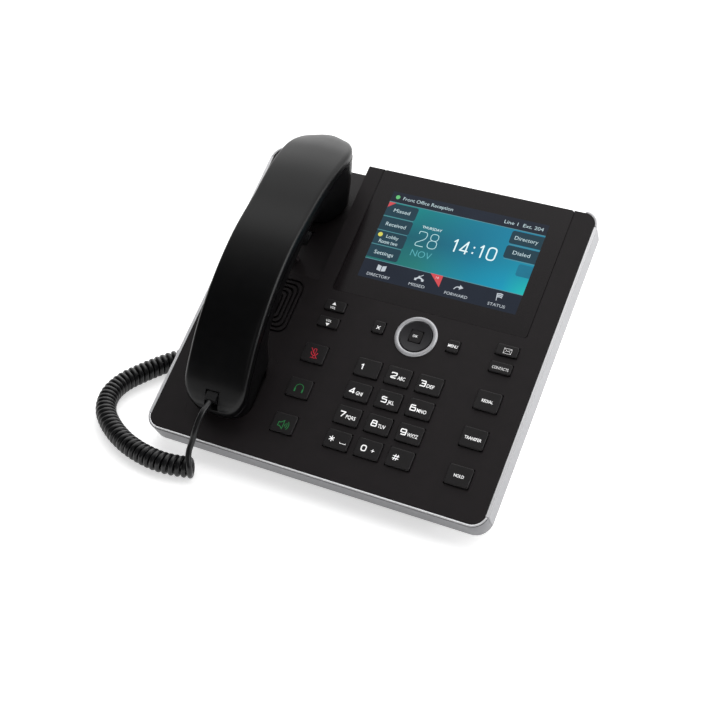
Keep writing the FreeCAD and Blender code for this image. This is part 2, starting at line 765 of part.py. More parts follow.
def make_screws():
    """Four screws that close the housing from below."""
    left, right = size("cover_left"), size("cover_left") + size("cover_wide")
    screws = []
    for x, y in ((left + 10, 50.0), (right - 10, 50.0), (left + 40, 30.0), (right - 40, 30.0)):
        head = Part.makeCylinder(size("screw_head"), 1.6, Vector(x, y, 1.4))
        shank = Part.makeCylinder(size("screw_shank"), 8, Vector(x, y, 2.6))
        screws.append(head.fuse(shank))
    keep(shaped("screws_body", Part.makeCompound(screws), desk_placement()), "housing_screws")


# ---------------------------------------------------------------- handset

# Outlines in the handset's middle plane, as (v, n) points that arcs run close inside of.
TOP_CURVE = (
    (23.0, 19.9), (40.0, 31.2), (60.0, 39.9), (90.0, 47.3), (121.0, 49.4), (150.0, 46.4), (178.0, 41.4),
    (196.0, 33.8), (216.6, 19.9),
)
ARCH_CURVE = (
    (156.0, 4.0), (149.5, 17.6), (131.0, 25.6), (108.0, 26.4), (86.0, 23.2), (70.0, 15.5), (64.0, 6.5),
)
# The end wall bulges a little, then leans in to the ear cup's flat underside.
EAR_BULGE = (218.1, 17.8)
EAR_WALL = (217.5, 15.2)
EAR_HEEL = (199.0, -10.5)
EAR_TOE = (161.0, -4.7)
# Half of the ear end's plan, as (x, v) points that arcs run close inside of.
EAR_PLAN = ((22.0, 100.0), (22.0, 201.6), (14.6, 219.0))
# The mouth cup, from the arch round its flat underside and up the end with the cord.
MOUTH_CUP = ((59.5, -1.4), (24.0, -1.4), (17.5, 3.0), (16.0, 10.0), (17.6, 15.4))


def arc_edges(points, drop=0.0):
    return round_path([(0, v, n - drop) for v, n in points]).Edges


def side_line(start, end):
    return Part.LineSegment(Vector(0, *start), Vector(0, *end)).toShape()


def side_arc(start, middle, end):
    return Part.Arc(Vector(0, *start), Vector(0, *middle), Vector(0, *end)).toShape()


def grip_profile():
    """Side outline of the handset: crowned top, leaning ear end, arched underside, mouth cup."""
    edges = arc_edges(TOP_CURVE) + arc_edges(ARCH_CURVE)
    edges.append(side_arc(TOP_CURVE[-1], EAR_BULGE, EAR_WALL))
    ear_cup = [EAR_WALL, EAR_HEEL, EAR_TOE, ARCH_CURVE[0]]
    mouth_cup = [ARCH_CURVE[-1], *MOUTH_CUP, TOP_CURVE[0]]
    for run in (ear_cup, mouth_cup):
        edges += [side_line(a, b) for a, b in zip(run, run[1:])]
    return Part.Wire(Part.__sortEdges__(edges))


def mouth_corner(side, half, low, radius):
    """One of the mouth end's round corners in plan, with the straight side that runs into it."""
    start = Vector(side * half, EAR_PLAN[0][1], -30)
    enter, leave = Vector(side * half, low + radius, -30), Vector(side * (half - radius), low, -30)
    reach = radius * (1 - math.sqrt(0.5))
    middle = Vector(side * (half - reach), low + reach, -30)
    return [Part.LineSegment(start, enter).toShape(), Part.Arc(enter, middle, leave).toShape()]


def grip_plan(inset):
    """Prism over the handset's plan: round corners at the mouth, a flatter round at the ear."""
    pulls = ((1.0, 0.0), (1.0, 0.2), (0.65, 1.0))
    right = [(x - inset * px, v - inset * pv) for (x, v), (px, pv) in zip(EAR_PLAN, pulls)]
    ear = [(x, v, -30) for x, v in right] + [(-x, v, -30) for x, v in reversed(right)]
    edges = round_path(ear).Edges
    half, low = size("grip_half") - inset, size("grip_low") + inset
    radius = size("mouth_corner") - inset
    for side in (1, -1):
        edges += mouth_corner(side, half, low, radius)
    straight = Part.LineSegment(Vector(half - radius, low, -30), Vector(radius - half, low, -30))
    edges.append(straight.toShape())
    return Part.Face(Part.Wire(Part.__sortEdges__(edges))).extrude(Vector(0, 0, 90))


def grip_solid(inset):
    wire = grip_profile()
    if inset:
        wire = wire.makeOffset2D(-inset)
    prism = Part.Face(wire).extrude(Vector(60, 0, 0))
    prism.translate(Vector(-30, 0, 0))
    return prism.common(grip_plan(inset))


def over_parting(drop):
    """Everything above the surface where the handset's two shells meet."""
    curve = arc_edges(TOP_CURVE, drop)
    first, last = TOP_CURVE[0], TOP_CURVE[-1]
    top, near, far = 90, -10, 230
    corners = [(last[0], last[1] - drop), (far, last[1] - drop - 9), (far, top), (near, top),
               (near, first[1] - drop - 10), (first[0], first[1] - drop)]
    lines = [side_line(a, b) for a, b in zip(corners, corners[1:])]
    face = Part.Face(Part.Wire(Part.__sortEdges__(curve + lines)))
    region = face.extrude(Vector(60, 0, 0))
    region.translate(Vector(-30, 0, 0))
    return region


def cup_disc(radius, low, high, cup, x=0.0, y=0.0):
    """A disc from low to high along the axis of a cup's underside, x and y off the axis."""
    v, n, lean = cup
    disc = Part.makeCylinder(radius, high - low, Vector(x, y, low))
    disc.Placement = Placement(Vector(0, v, n), Rotation(Vector(1, 0, 0), lean))
    return disc


def ear_cup():
    """Middle of the ear cup's flat underside, and how far it leans."""
    fall = (EAR_TOE[1] - EAR_HEEL[1]) / (EAR_HEEL[0] - EAR_TOE[0])
    v = size("ear_v")
    return v, EAR_TOE[1] - fall * (v - EAR_TOE[0]), -math.degrees(math.atan(fall))


def mouth_cup():
    return size("mouth_v"), -1.4, 0.0


def along_side(edge):
    """Whether an edge lies in one of the handset's two flat sides."""
    half = size("grip_half")
    return all(abs(abs(v.Point.x) - half) < 1e-6 for v in edge.Vertexes) and edge.Length > 0.5


def make_cap(name, radius, cup, slot, places):
    """A thin round cap in the underside of a cup, with sound holes."""
    thick = size("cap_thick")
    slots = [cup_disc(slot, -1, thick + 1, cup, x, y) for x, y in places]
    cap = cup_disc(radius, 0, thick, cup).cut(Part.makeCompound(slots))
    keep(shaped(name + "_body", cap, on_face(size("grip_x"))), name)


def plug_block():
    """The lead's plug, at the inner end of the notch in the mouth end."""
    half, thick, long = size("plug_half"), size("plug_thick"), size("plug_long")
    return Part.makeBox(2 * half, long, thick, Vector(-half, size("notch_end") - long, size("plug_low")))


def plug_notch():
    """The cutter for the slot in the mouth end that the cord's plug goes into."""
    half, low, end, long = size("notch_half"), size("notch_low"), size("notch_end"), 16
    return Part.makeBox(2 * half, long, size("notch_high") - low, Vector(-half, end - long, low))


def make_handset():
    """Two hollow shells that meet along the sides, open where the caps and the plug go in."""
    at = on_face(size("grip_x"))
    solid = grip_solid(0.0)
    crown = over_parting(3.0)
    side_edges = [e for e in solid.Edges if along_side(e) and crown.isInside(e.CenterOfMass, 0.01, True)]
    solid = solid.makeFillet(size("grip_edge"), side_edges)
    shell = solid.cut(grip_solid(size("grip_wall"))).cut(plug_notch())
    for radius, cup in ((size("ear_radius"), ear_cup()), (size("mouth_radius"), mouth_cup())):
        shell = shell.cut(cup_disc(radius + size("cap_gap"), -2, 4, cup))
    upper = over_parting(size("parting"))
    keep(shaped("outer_body", shell.common(upper), at), "handset_outer_shell")
    keep(shaped("inner_body", shell.cut(upper), at), "handset_inner_shell")
    keep(shaped("handset_plug_body", plug_block(), at), "handset_plug")


def make_handset_inside():
    """The caps with their sound holes, the two transducers behind them and the weight in the grip."""
    at = on_face(size("grip_x"))
    turns = [math.radians(60 * i) for i in range(6)]
    ring = [(5 * math.cos(turn), 5 * math.sin(turn)) for turn in turns]
    make_cap("earpiece_cap", size("ear_radius"), ear_cup(), 1.1, [(0, 0)] + ring)
    make_cap("mouthpiece_cap", size("mouth_radius"), mouth_cup(), 1.0, [(-5, 0), (0, 0), (5, 0)])
    behind = size("cap_thick") + size("cap_gap")
    receiver = cup_disc(size("receiver_radius"), behind, behind + size("receiver_thick"), ear_cup())
    keep(shaped("receiver_body", receiver, at), "receiver_capsule")
    microphone = cup_disc(size("mic_radius"), behind, behind + size("mic_thick"), mouth_cup())
    keep(shaped("mic_body", microphone, at), "handset_microphone")
    wide, long = size("weight_wide"), size("weight_long")
    corner = Vector(-wide / 2, size("weight_v") - long / 2, size("weight_n"))
    weight = Part.makeBox(wide, long, size("weight_thick"), corner)
    keep(shaped("weight_body", weight, at), "handset_weight")


# ---------------------------------------------------------------- cord

# Routes are in millimetres from the foot of the face's lower left corner, by hand.
LEAD_ROUTE = ((45.0, 7.0, 42.6), (44.9, -3.2, 40.2), (43.7, -12.3, 30.6), (42.1, -17.1, 14.9))
COIL_ROUTE = (
    (43.5, -16.6, 7.1), (32.0, -19.9, 7.1), (18.5, -20.4, 7.1), (3.5, -17.6, 7.1), (-11.5, -12.0, 7.1),
    (-26.8, -2.6, 7.1), (-40.0, 9.6, 7.1), (-47.2, 25.2, 7.1), (-47.6, 41.0, 7.1), (-42.2, 55.5, 7.1),
    (-35.5, 70.0, 7.1), (-27.5, 83.5, 7.1), (-15.5, 92.0, 7.1), (-3.0, 96.5, 7.1),
)
BASE_ROUTE = ((-2.9, 96.54, 9.6), (1.8, 98.23, 9.6), (9.5, 100.0, 12.0), (16.5, 100.0, 12.0))


def round_path(route):
    """Straight runs joined by tangent arcs, each as large as its two runs allow."""
    points = [Vector(*p) for p in route]
    edges, start, radii = [], points[0], []
    for a, b, c in zip(points, points[1:], points[2:]):
        back, ahead = (a - b).normalize(), (c - b).normalize()
        turn = math.pi - back.getAngle(ahead)
        reach = 0.45 * min((a - b).Length, (c - b).Length)
        radius = reach / math.tan(turn / 2)
        middle = (back + ahead).normalize() * (math.hypot(radius, reach) - radius)
        enter, leave = b + back * reach, b + ahead * reach
        edges.append(Part.LineSegment(start, enter).toShape())
        edges.append(Part.Arc(enter, b + middle, leave).toShape())
        radii.append(radius)
        start = leave
    edges.append(Part.LineSegment(start, points[-1]).toShape())
    print("arc radii, mm: " + " ".join("%.1f" % r for r in radii))
    return Part.Wire(edges)


def tube(name, route, across):
    path = round_path(route)
    first = path.Edges[0]
    profile = Part.Wire(Part.makeCircle(across / 2, first.valueAt(0), first.tangentAt(0)))
    solid = path.makePipeShell([profile], True, True)
    expected = math.pi * across ** 2 / 4 * path.Length
    share = solid.Volume / expected
    print("%s: %.0f mm long, volume %.3f of section times length" % (name, path.Length, share))
    return solid


def make_cord():
    lead, coil = size("lead_across"), size("coil_across")
    at = desk_placement()
    plug = plug_block()
    plug.Placement = at.inverse().multiply(on_face(size("grip_x")))
    keep(shaped("lead_body", tube("cord_lead", LEAD_ROUTE, lead).cut(plug), at), "cord_lead")
    keep(shaped("coil_body", tube("cord_coil", COIL_ROUTE, coil), at), "cord_coil")
    keep(shaped("base_lead_body", tube("cord_base_lead", BASE_ROUTE, lead), at), "cord_base_lead")
    wide, thick = size("base_plug_wide"), size("base_plug_thick")
    corner = Vector(BASE_ROUTE[-1][0], AUDIO_JACKS[0] - wide / 2, JACK_Z - thick / 2)
    plug = Part.makeBox(size("base_plug_long"), wide, thick, corner)
    keep(shaped("base_plug_body", plug, at), "base_plug")


# ---------------------------------------------------------------- build


def build():
    fill_sheet()
    for key in all_keys():
        make_key(*key)
    make_navigator()
    make_keyboard()
    make_front_cover()
    make_display()
    make_grille()
    make_rim()
    make_hook_parts()
    make_rear_cover()
    make_ports()
    make_stand()
    make_feet()
    make_screws()
    make_handset()
    make_handset_inside()
    make_cord()
    doc.recompute()


def check():
    bad = [o.Label for o in doc.Objects if "Invalid" in o.State or "Error" in o.State]
    bad += [p.Label for p in PARTS if p.Shape.isNull() or not p.Shape.isValid() or not p.Shape.Solids]
    if bad:
        raise RuntimeError("these did not build: " + ", ".join(bad))


def write():
    os.makedirs("parts", exist_ok=True)
    for part in PARTS:
        part.Shape.exportStep(os.path.join("parts", part.Label + ".step"))
    print("%d sub-parts written" % len(PARTS))


build()
check()
write()
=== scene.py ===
"""Looks of the desk phone: camera, light, cord, handset, display and legends around the CAD frame."""
import json
import math

import bmesh
import bpy
from mathutils import Matrix, Vector


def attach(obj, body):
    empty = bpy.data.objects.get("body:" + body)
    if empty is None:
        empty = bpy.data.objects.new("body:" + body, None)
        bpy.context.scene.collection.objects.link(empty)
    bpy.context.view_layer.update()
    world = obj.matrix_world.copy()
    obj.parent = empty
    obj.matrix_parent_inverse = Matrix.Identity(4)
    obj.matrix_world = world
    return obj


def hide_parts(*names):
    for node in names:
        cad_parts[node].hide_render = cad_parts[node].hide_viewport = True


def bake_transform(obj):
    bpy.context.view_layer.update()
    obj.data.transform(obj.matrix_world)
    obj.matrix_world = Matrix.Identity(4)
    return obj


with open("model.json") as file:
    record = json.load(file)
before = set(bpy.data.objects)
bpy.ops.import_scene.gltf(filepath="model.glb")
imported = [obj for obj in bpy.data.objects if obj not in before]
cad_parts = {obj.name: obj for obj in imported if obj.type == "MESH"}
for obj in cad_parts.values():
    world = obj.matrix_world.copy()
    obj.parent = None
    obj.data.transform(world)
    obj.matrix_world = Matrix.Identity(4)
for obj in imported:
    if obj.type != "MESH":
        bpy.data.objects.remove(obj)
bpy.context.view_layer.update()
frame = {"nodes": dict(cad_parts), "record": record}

MM = 0.001

# The face is tilted up from the desk. Positions on it are (x, v, n) in millimetres: to the right,
# up the slope and out of the face, from the face's lower left corner.
TILT = math.radians(32.7)
FACE_CORNER = Vector((-114.05, -96.201, 16.5))
DESK_CORNER = Vector((-114.05, -96.201, 0.0))

# Heights of the keys' tops above the face, and of the ink above them.
KEY_TOP = 1.5
OK_TOP = 0.7
LEGEND_LIFT = 0.03


def face_matrix():
    """From millimetres on the face to metres in the row frame."""
    along = Vector((1, 0, 0))
    upward = Vector((0, math.cos(TILT), math.sin(TILT)))
    outward = Vector((0, -math.sin(TILT), math.cos(TILT)))
    matrix = Matrix((along, upward, outward)).transposed().to_4x4()
    matrix.translation = FACE_CORNER
    return Matrix.Scale(MM, 4) @ matrix


FACE = face_matrix()


def face_point(x, v, n=0.0):
    return FACE @ Vector((x, v, n))


def desk_point(x, y, z):
    return (DESK_CORNER + Vector((x, y, z))) * MM


def colour(red, green, blue):
    """A linear colour from 0 to 255 screen values."""
    def linear(value):
        value /= 255
        return value / 12.92 if value <= 0.04045 else ((value + 0.055) / 1.055) ** 2.4
    return (linear(red), linear(green), linear(blue), 1.0)


def scaled(shade, factor):
    return tuple(part * factor for part in shade[:3]) + (1.0,)


def added(name, data):
    """A new object in the scene that shows the data."""
    thing = bpy.data.objects.new(name, data)
    bpy.context.scene.collection.objects.link(thing)
    return thing


def evaluated_mesh(thing):
    """The mesh that an object shows once its curve or its modifiers are worked out."""
    bpy.context.view_layer.update()
    return bpy.data.meshes.new_from_object(thing.evaluated_get(bpy.context.evaluated_depsgraph_get()))


# Materials

def ramp_node(nodes, stops):
    """A colour ramp through stops, which are pairs of a position and a shade."""
    node = nodes.new("ShaderNodeValToRGB")
    points = node.color_ramp.elements
    while len(points) < len(stops):
        points.new(0.5)
    for point, (position, shade) in zip(points, stops):
        point.position = position
        point.color = shade
    return node


def nearness_node(nodes, direction):
    """How near a vector comes to a direction: 1 along it and 0 square to it."""
    node = nodes.new("ShaderNodeVectorMath")
    node.operation = "DOT_PRODUCT"
    node.inputs[1].default_value = direction
    return node


class Finish:
    """A node material, with short ways to add the nodes that several finishes share."""

    def __init__(self, name, base, roughness, **sockets):
        self.material = bpy.data.materials.new(name)
        self.material.use_nodes = True
        self.nodes = self.material.node_tree.nodes
        self.links = self.material.node_tree.links
        self.shader = self.nodes["Principled BSDF"]
        self.base = base
        self.shader.inputs["Base Color"].default_value = base
        self.shader.inputs["Roughness"].default_value = roughness
        for socket, value in sockets.items():
            self.shader.inputs[socket.replace("_", " ")].default_value = value
        self.place = self.nodes.new("ShaderNodeTexCoord").outputs["Object"]

    def stretched(self, scale):
        mapping = self.nodes.new("ShaderNodeMapping")
        mapping.inputs["Scale"].default_value = scale
        self.links.new(self.place, mapping.inputs["Vector"])
        return mapping.outputs["Vector"]

    def noise(self, size, detail=2.0, place=None):
        """Noise whose blobs are about size millimetres across."""
        node = self.nodes.new("ShaderNodeTexNoise")
        node.inputs["Scale"].default_value = 1 / (size * MM)
        node.inputs["Detail"].default_value = detail
        self.links.new(place or self.place, node.inputs["Vector"])
        return node.outputs["Fac"]

    def ramp(self, value, stops):
        node = ramp_node(self.nodes, stops)
        self.links.new(value, node.inputs["Fac"])
        return node.outputs["Color"]

    def between(self, value, low, high):
        node = self.nodes.new("ShaderNodeMapRange")
        node.inputs["To Min"].default_value = low
        node.inputs["To Max"].default_value = high
        self.links.new(value, node.inputs["Value"])
        return node.outputs["Result"]

    def mixed(self, value, first, second):
        node = self.nodes.new("ShaderNodeMix")
        node.data_type = "RGBA"
        self.links.new(value, node.inputs["Factor"])
        for socket, shade in (("A", first), ("B", second)):
            target = [i for i in node.inputs if i.name == socket and i.type == "RGBA"][0]
            if isinstance(shade, tuple):
                target.default_value = shade
            else:
                self.links.new(shade, target)
        return [o for o in node.outputs if o.type == "RGBA"][0]

    def mottled(self, size, amount):
        """The base colour varies gently by amount over blobs of size millimetres."""
        shades = [scaled(self.base, factor) for factor in (1 - amount, 1 + amount)]
        self.links.new(self.ramp(self.noise(size), list(zip((0.3, 0.7), shades))),
                       self.shader.inputs["Base Color"])
        return self

    def uneven_gloss(self, size, low, high, place=None):
        self.links.new(self.between(self.noise(size, 3.0, place), low, high),
                       self.shader.inputs["Roughness"])
        return self

    def grain(self, size, depth, strength=0.6, place=None):
        """Fine surface relief, depth millimetres deep."""
        bump = self.nodes.new("ShaderNodeBump")
        bump.inputs["Strength"].default_value = strength
        bump.inputs["Distance"].default_value = depth * MM
        self.links.new(self.noise(size, 3.0, place), bump.inputs["Height"])
        self.links.new(bump.outputs["Normal"], self.shader.inputs["Normal"])
        return self


def textured_plastic(name, base, roughness=0.5, grain_size=0.45, specular=0.3):
    """Moulded plastic with a fine spark-eroded texture."""
    finish = Finish(name, base, roughness, Specular_IOR_Level=specular)
    finish.mottled(9.0, 0.10).uneven_gloss(1.2, roughness - 0.06, roughness + 0.08)
    finish.grain(grain_size, 0.03)
    return finish.material


def satin_plastic(name, base, roughness=0.3, specular=0.4):
    """Smooth moulded plastic with a faint orange peel and hardly visible handling marks."""
    finish = Finish(name, base, roughness, Specular_IOR_Level=specular)
    finish.mottled(14.0, 0.08).uneven_gloss(6.0, roughness - 0.04, roughness + 0.07)
    finish.grain(1.6, 0.006, 0.4)
    return finish.material


def silver_paint(name, base, roughness, metallic, flake=0.1):
    """Metallic paint: fine flakes and long soft strokes along the part."""
    finish = Finish(name, base, roughness, Metallic=metallic)
    flakes = finish.noise(0.25, 1.0)
    finish.links.new(finish.ramp(flakes, [(0.35, scaled(base, 1 - flake)), (0.65, base)]),
                     finish.shader.inputs["Base Color"])
    finish.uneven_gloss(2.0, roughness - 0.05, roughness + 0.08, finish.stretched((0.15, 1.0, 1.0)))
    finish.grain(0.5, 0.05 * flake, 0.5)
    return finish.material


def rim_paint_and_painted_light(name, side, painted_lip_highlight):
    """Silver paint on the rim's sides, with painted light: painted shade in a dark line on the rounded edge
    and a painted highlight on the lip facing out.
    """
    finish = Finish(name, side, 0.36, Metallic=0.55)
    towards = nearness_node(finish.nodes, (0.0, -math.sin(TILT), math.cos(TILT)))
    geometry = finish.nodes.new("ShaderNodeNewGeometry")
    finish.links.new(geometry.outputs["Normal"], towards.inputs[0])
    # Painted shade: this dark colour stands for the shade on the rounded edge between the lip and the sides.
    dark = scaled(side, 0.3)
    flakes = finish.ramp(finish.noise(0.25, 1.0), [(0.35, scaled(side, 0.9)), (0.65, side)])
    # The colour follows how far each face turns out of the face plate: painted shade on the rounded edge, a
    # painted highlight on the lip.
    painted_lip_and_edge_shade = finish.ramp(towards.outputs["Value"], [(0.25, dark), (0.78, dark), (0.9, painted_lip_highlight)])
    off_side = finish.nodes.new("ShaderNodeMapRange")
    off_side.inputs["From Min"].default_value = 0.2
    off_side.inputs["From Max"].default_value = 0.4
    finish.links.new(towards.outputs["Value"], off_side.inputs["Value"])
    finish.links.new(finish.mixed(off_side.outputs["Result"], flakes, painted_lip_and_edge_shade),
                     finish.shader.inputs["Base Color"])
    finish.uneven_gloss(2.0, 0.3, 0.44, finish.stretched((0.15, 1.0, 1.0)))
    finish.grain(0.5, 0.005, 0.5)
    return finish.material


def bare_metal(name, base, roughness=0.35):
    finish = Finish(name, base, roughness, Metallic=1.0)
    finish.mottled(3.0, 0.10).uneven_gloss(1.0, roughness - 0.1, roughness + 0.1)
    finish.grain(0.3, 0.01, 0.5, finish.stretched((0.1, 1.0, 1.0)))
    return finish.material


def rubber(name, base, roughness=0.75):
    finish = Finish(name, base, roughness, Specular_IOR_Level=0.25)
    finish.mottled(2.5, 0.18).uneven_gloss(1.5, roughness - 0.08, roughness + 0.08)
    finish.grain(0.35, 0.04)
    return finish.material


def glass_panel(name, base):
    """Clear glossy window over black: nearly mirror smooth, with slight haze."""
    finish = Finish(name, base, 0.16, Specular_IOR_Level=0.3, Coat_Weight=0.1, Coat_Roughness=0.08)
    finish.mottled(20.0, 0.08).uneven_gloss(12.0, 0.13, 0.2)
    return finish.material


def circuit_board(name):
    """Green solder mask with the faint lines of the tracks under it."""
    finish = Finish(name, colour(16, 78, 42), 0.35)
    tracks = finish.nodes.new("ShaderNodeTexBrick")
    tracks.inputs["Scale"].default_value = 260.0
    tracks.inputs["Color1"].default_value = colour(16, 78, 42)
    tracks.inputs["Color2"].default_value = colour(20, 88, 48)
    tracks.inputs["Mortar"].default_value = colour(34, 112, 62)
    finish.links.new(finish.place, tracks.inputs["Vector"])
    finish.links.new(tracks.outputs["Color"], finish.shader.inputs["Base Color"])
    finish.uneven_gloss(3.0, 0.3, 0.45)
    return finish.material


def printed(name, base, painted_glow):
    """Screen-printed ink with a slight painted glow, which keeps its colour clear on dark plastic."""
    finish = Finish(name, base, 0.5, Emission_Color=base, Emission_Strength=painted_glow)
    finish.mottled(0.8, 0.06).grain(0.2, 0.01)
    return finish.material


def lit(name, shade, strength):
    """A lit patch of the display, under clear glass."""
    finish = Finish(name, (0.004, 0.004, 0.005, 1.0), 0.18, Specular_IOR_Level=0.25)
    stops = [(0.25, scaled(shade, strength * 0.82)), (0.75, scaled(shade, strength))]
    finish.links.new(finish.ramp(finish.noise(16.0), stops),
                     finish.shader.inputs["Emission Color"])
    finish.shader.inputs["Emission Strength"].default_value = 1.0
    return finish.material


def wallpaper(name):
    """The display's background: green-teal on the left to blue and bright cyan at the lower right."""
    finish = Finish(name, (0.004, 0.004, 0.005, 1.0), 0.18, Specular_IOR_Level=0.25)
    split = finish.nodes.new("ShaderNodeSeparateXYZ")
    spot = finish.nodes.new("ShaderNodeTexCoord").outputs["Generated"]
    finish.links.new(spot, split.inputs["Vector"])
    upper = finish.ramp(split.outputs["X"], [
        (0.0, colour(10, 140, 130)), (0.28, colour(14, 128, 134)), (0.6, colour(14, 122, 148)),
        (0.85, colour(16, 126, 160))])
    middle = finish.ramp(split.outputs["X"], [
        (0.0, colour(12, 92, 100)), (0.3, colour(18, 96, 112)), (0.62, colour(12, 112, 142)),
        (0.9, colour(14, 138, 166))])
    lower = finish.ramp(split.outputs["X"], [
        (0.0, colour(22, 104, 98)), (0.32, colour(30, 120, 116)), (0.65, colour(10, 136, 164)),
        (0.86, colour(6, 150, 184)), (1.0, colour(24, 186, 180))])
    waves = finish.between(finish.noise(26.0, 1.5, finish.stretched((0.5, 1.0, 1.6))), -0.12, 0.12)
    height = finish.nodes.new("ShaderNodeMath")
    height.operation = "ADD"
    finish.links.new(split.outputs["Y"], height.inputs[0])
    finish.links.new(waves, height.inputs[1])
    low_part = finish.nodes.new("ShaderNodeMapRange")
    low_part.inputs["From Max"].default_value = 0.5
    high_part = finish.nodes.new("ShaderNodeMapRange")
    high_part.inputs["From Min"].default_value = 0.5
    for part in (low_part, high_part):
        finish.links.new(height.outputs[0], part.inputs["Value"])
    below = finish.mixed(low_part.outputs["Result"], lower, middle)
    finish.links.new(finish.mixed(high_part.outputs["Result"], below, upper),
                     finish.shader.inputs["Emission Color"])
    finish.shader.inputs["Emission Strength"].default_value = 1.0
    return finish.material


def cord_sheath(name):
    finish = Finish(name, colour(12, 12, 14), 0.34, Specular_IOR_Level=0.4)
    finish.mottled(5.0, 0.12).uneven_gloss(2.0, 0.24, 0.38)
    finish.grain(0.7, 0.015, 0.4)
    return finish.material


FINISHES = {
    "face_plastic": textured_plastic("face plastic", colour(27, 22, 24)),
    "key_plastic": textured_plastic("key plastic", colour(30, 28, 29), 0.42, 0.3),
    "base_plastic": textured_plastic("base plastic", colour(32, 32, 34), 0.6, 0.8),
    "handset_plastic": satin_plastic("handset plastic", colour(3, 3, 4), 0.3, 0.28),
    "nav_plastic": satin_plastic("navigation plastic", colour(38, 37, 40), 0.32),
    "plug_plastic": satin_plastic("plug plastic", colour(26, 26, 27), 0.25),
    "jack_plastic": satin_plastic("socket plastic", colour(26, 26, 26), 0.4),
    # The rim's last colour is the lip's painted highlight.
    "silver_rim": rim_paint_and_painted_light("silver rim", colour(160, 160, 163), colour(250, 250, 252)),
    "silver_ring": silver_paint("silver ring", colour(196, 196, 199), 0.36, 0.15, 0.04),
    "corner_grey": silver_paint("corner grey", colour(236, 236, 238), 0.4, 0.15),
    "display_glass": glass_panel("display glass", colour(24, 19, 21)),
    "lcd": glass_panel("display module", colour(30, 40, 46)),
    "silicone": rubber("silicone", colour(120, 120, 118)),
    "foot_rubber": rubber("foot rubber", colour(30, 30, 30)),
    "circuit_board": circuit_board("circuit board"),
    "speaker_metal": bare_metal("speaker metal", colour(60, 60, 62), 0.45),
    "jack_metal": bare_metal("socket metal", colour(190, 190, 192)),
    "screw_steel": bare_metal("screw steel", colour(170, 170, 172), 0.3),
    "cord_sheath": cord_sheath("cord sheath"),
}
# A darker copy of the rim paint for the front rim: painted shade, as the front faces down and away from the
# light; its lip keeps the painted highlight.
FRONT_SILVER_SHADED = rim_paint_and_painted_light("front silver shaded", colour(128, 128, 131), colour(250, 250, 252))
# The legend inks glow a little: painted light, though they are only print.
GLOWING_WHITE_INK = printed("white legends", colour(252, 252, 252), 0.4)
GLOWING_RED_INK = printed("red legends", colour(214, 40, 62), 0.1)
GLOWING_GREEN_INK = printed("green legends", colour(36, 140, 72), 0.1)


def finish_cad_nodes():
    """Every carried-over CAD node takes the finish of its material slot."""
    for subpart in frame["record"]["subparts"]:
        node = frame["nodes"][subpart["node"]]
        node.data.materials.clear()
        node.data.materials.append(FINISHES[subpart["material_slot"]])
    # The front rim takes the darker copy of the rim paint, with its painted shade.
    frame["nodes"]["rim_front"].data.materials[0] = FRONT_SILVER_SHADED


# Radii in millimetres of the edges that catch the light.
EDGE_RADII = {"rim_front": 0.7, "rim_sides": 0.7, "corner_caps": 0.7, "nav_ring": 0.25, "ok_key": 0.35}


def round_edges():
    for node, radius in EDGE_RADII.items():
        piece = frame["nodes"][node]
        weld = piece.modifiers.new("weld", "WELD")
        weld.merge_threshold = 0.005 * MM
        bevel = piece.modifiers.new("bevel", "BEVEL")
        bevel.width = radius * MM
        bevel.segments = 3
        bevel.limit_method = "ANGLE"
        bevel.angle_limit = math.radians(40)


# Flat artwork on the face

# Strokes of the squared numerals, in a box one wide and one tall; True for those that close.
NUMERALS = {
    "0": ((((0, 0), (1, 0), (1, 1), (0, 1)), True),),
    "1": ((((0.22, 0.78), (0.55, 1), (0.55, 0)), False),),
    "2": ((((0, 0.8), (0, 1), (1, 1), (1, 0.55), (0, 0.2), (0, 0), (1, 0)), False),),
    "3": ((((0, 1), (1, 1), (1, 0), (0, 0)), False), (((0.25, 0.52), (1, 0.52)), False)),
    "4": ((((0.74, 0), (0.74, 1), (0, 0.24), (1, 0.24)), False),),
    "5": ((((0.95, 1), (0.04, 1), (0.04, 0.58), (1, 0.6), (1, 0), (0, 0)), False),),
    "6": ((((0.9, 1), (0, 1), (0, 0), (1, 0), (1, 0.58), (0.06, 0.58)), False),),
    "7": ((((0, 1), (1, 1), (0.36, 0)), False),),
    "8": ((((0, 0), (1, 0), (1, 0.54), (0, 0.54)), True),
          (((0.07, 0.54), (0.93, 0.54), (0.93, 1), (0.07, 1)), True)),
    "9": ((((0.1, 0), (1, 0), (1, 1), (0, 1), (0, 0.42), (0.94, 0.42)), False),),
}


def softened(points, radius, closed=False):
    """Points along a path with its corners rounded off."""
    spots = [Vector(p) for p in points]
    last = len(spots) - 1
    path = []
    for index, spot in enumerate(spots):
        if not closed and index in (0, last):
            path.append(tuple(spot))
            continue
        before, after = spots[index - 1], spots[(index + 1) % len(spots)]
        reach = min(radius, (before - spot).length * 0.48, (after - spot).length * 0.48)
        enter = spot + (before - spot).normalized() * reach
        leave = spot + (after - spot).normalized() * reach
        for step in range(7):
            part = step / 6
            path.append(tuple(enter.lerp(spot, part).lerp(spot.lerp(leave, part), part)))
    return path


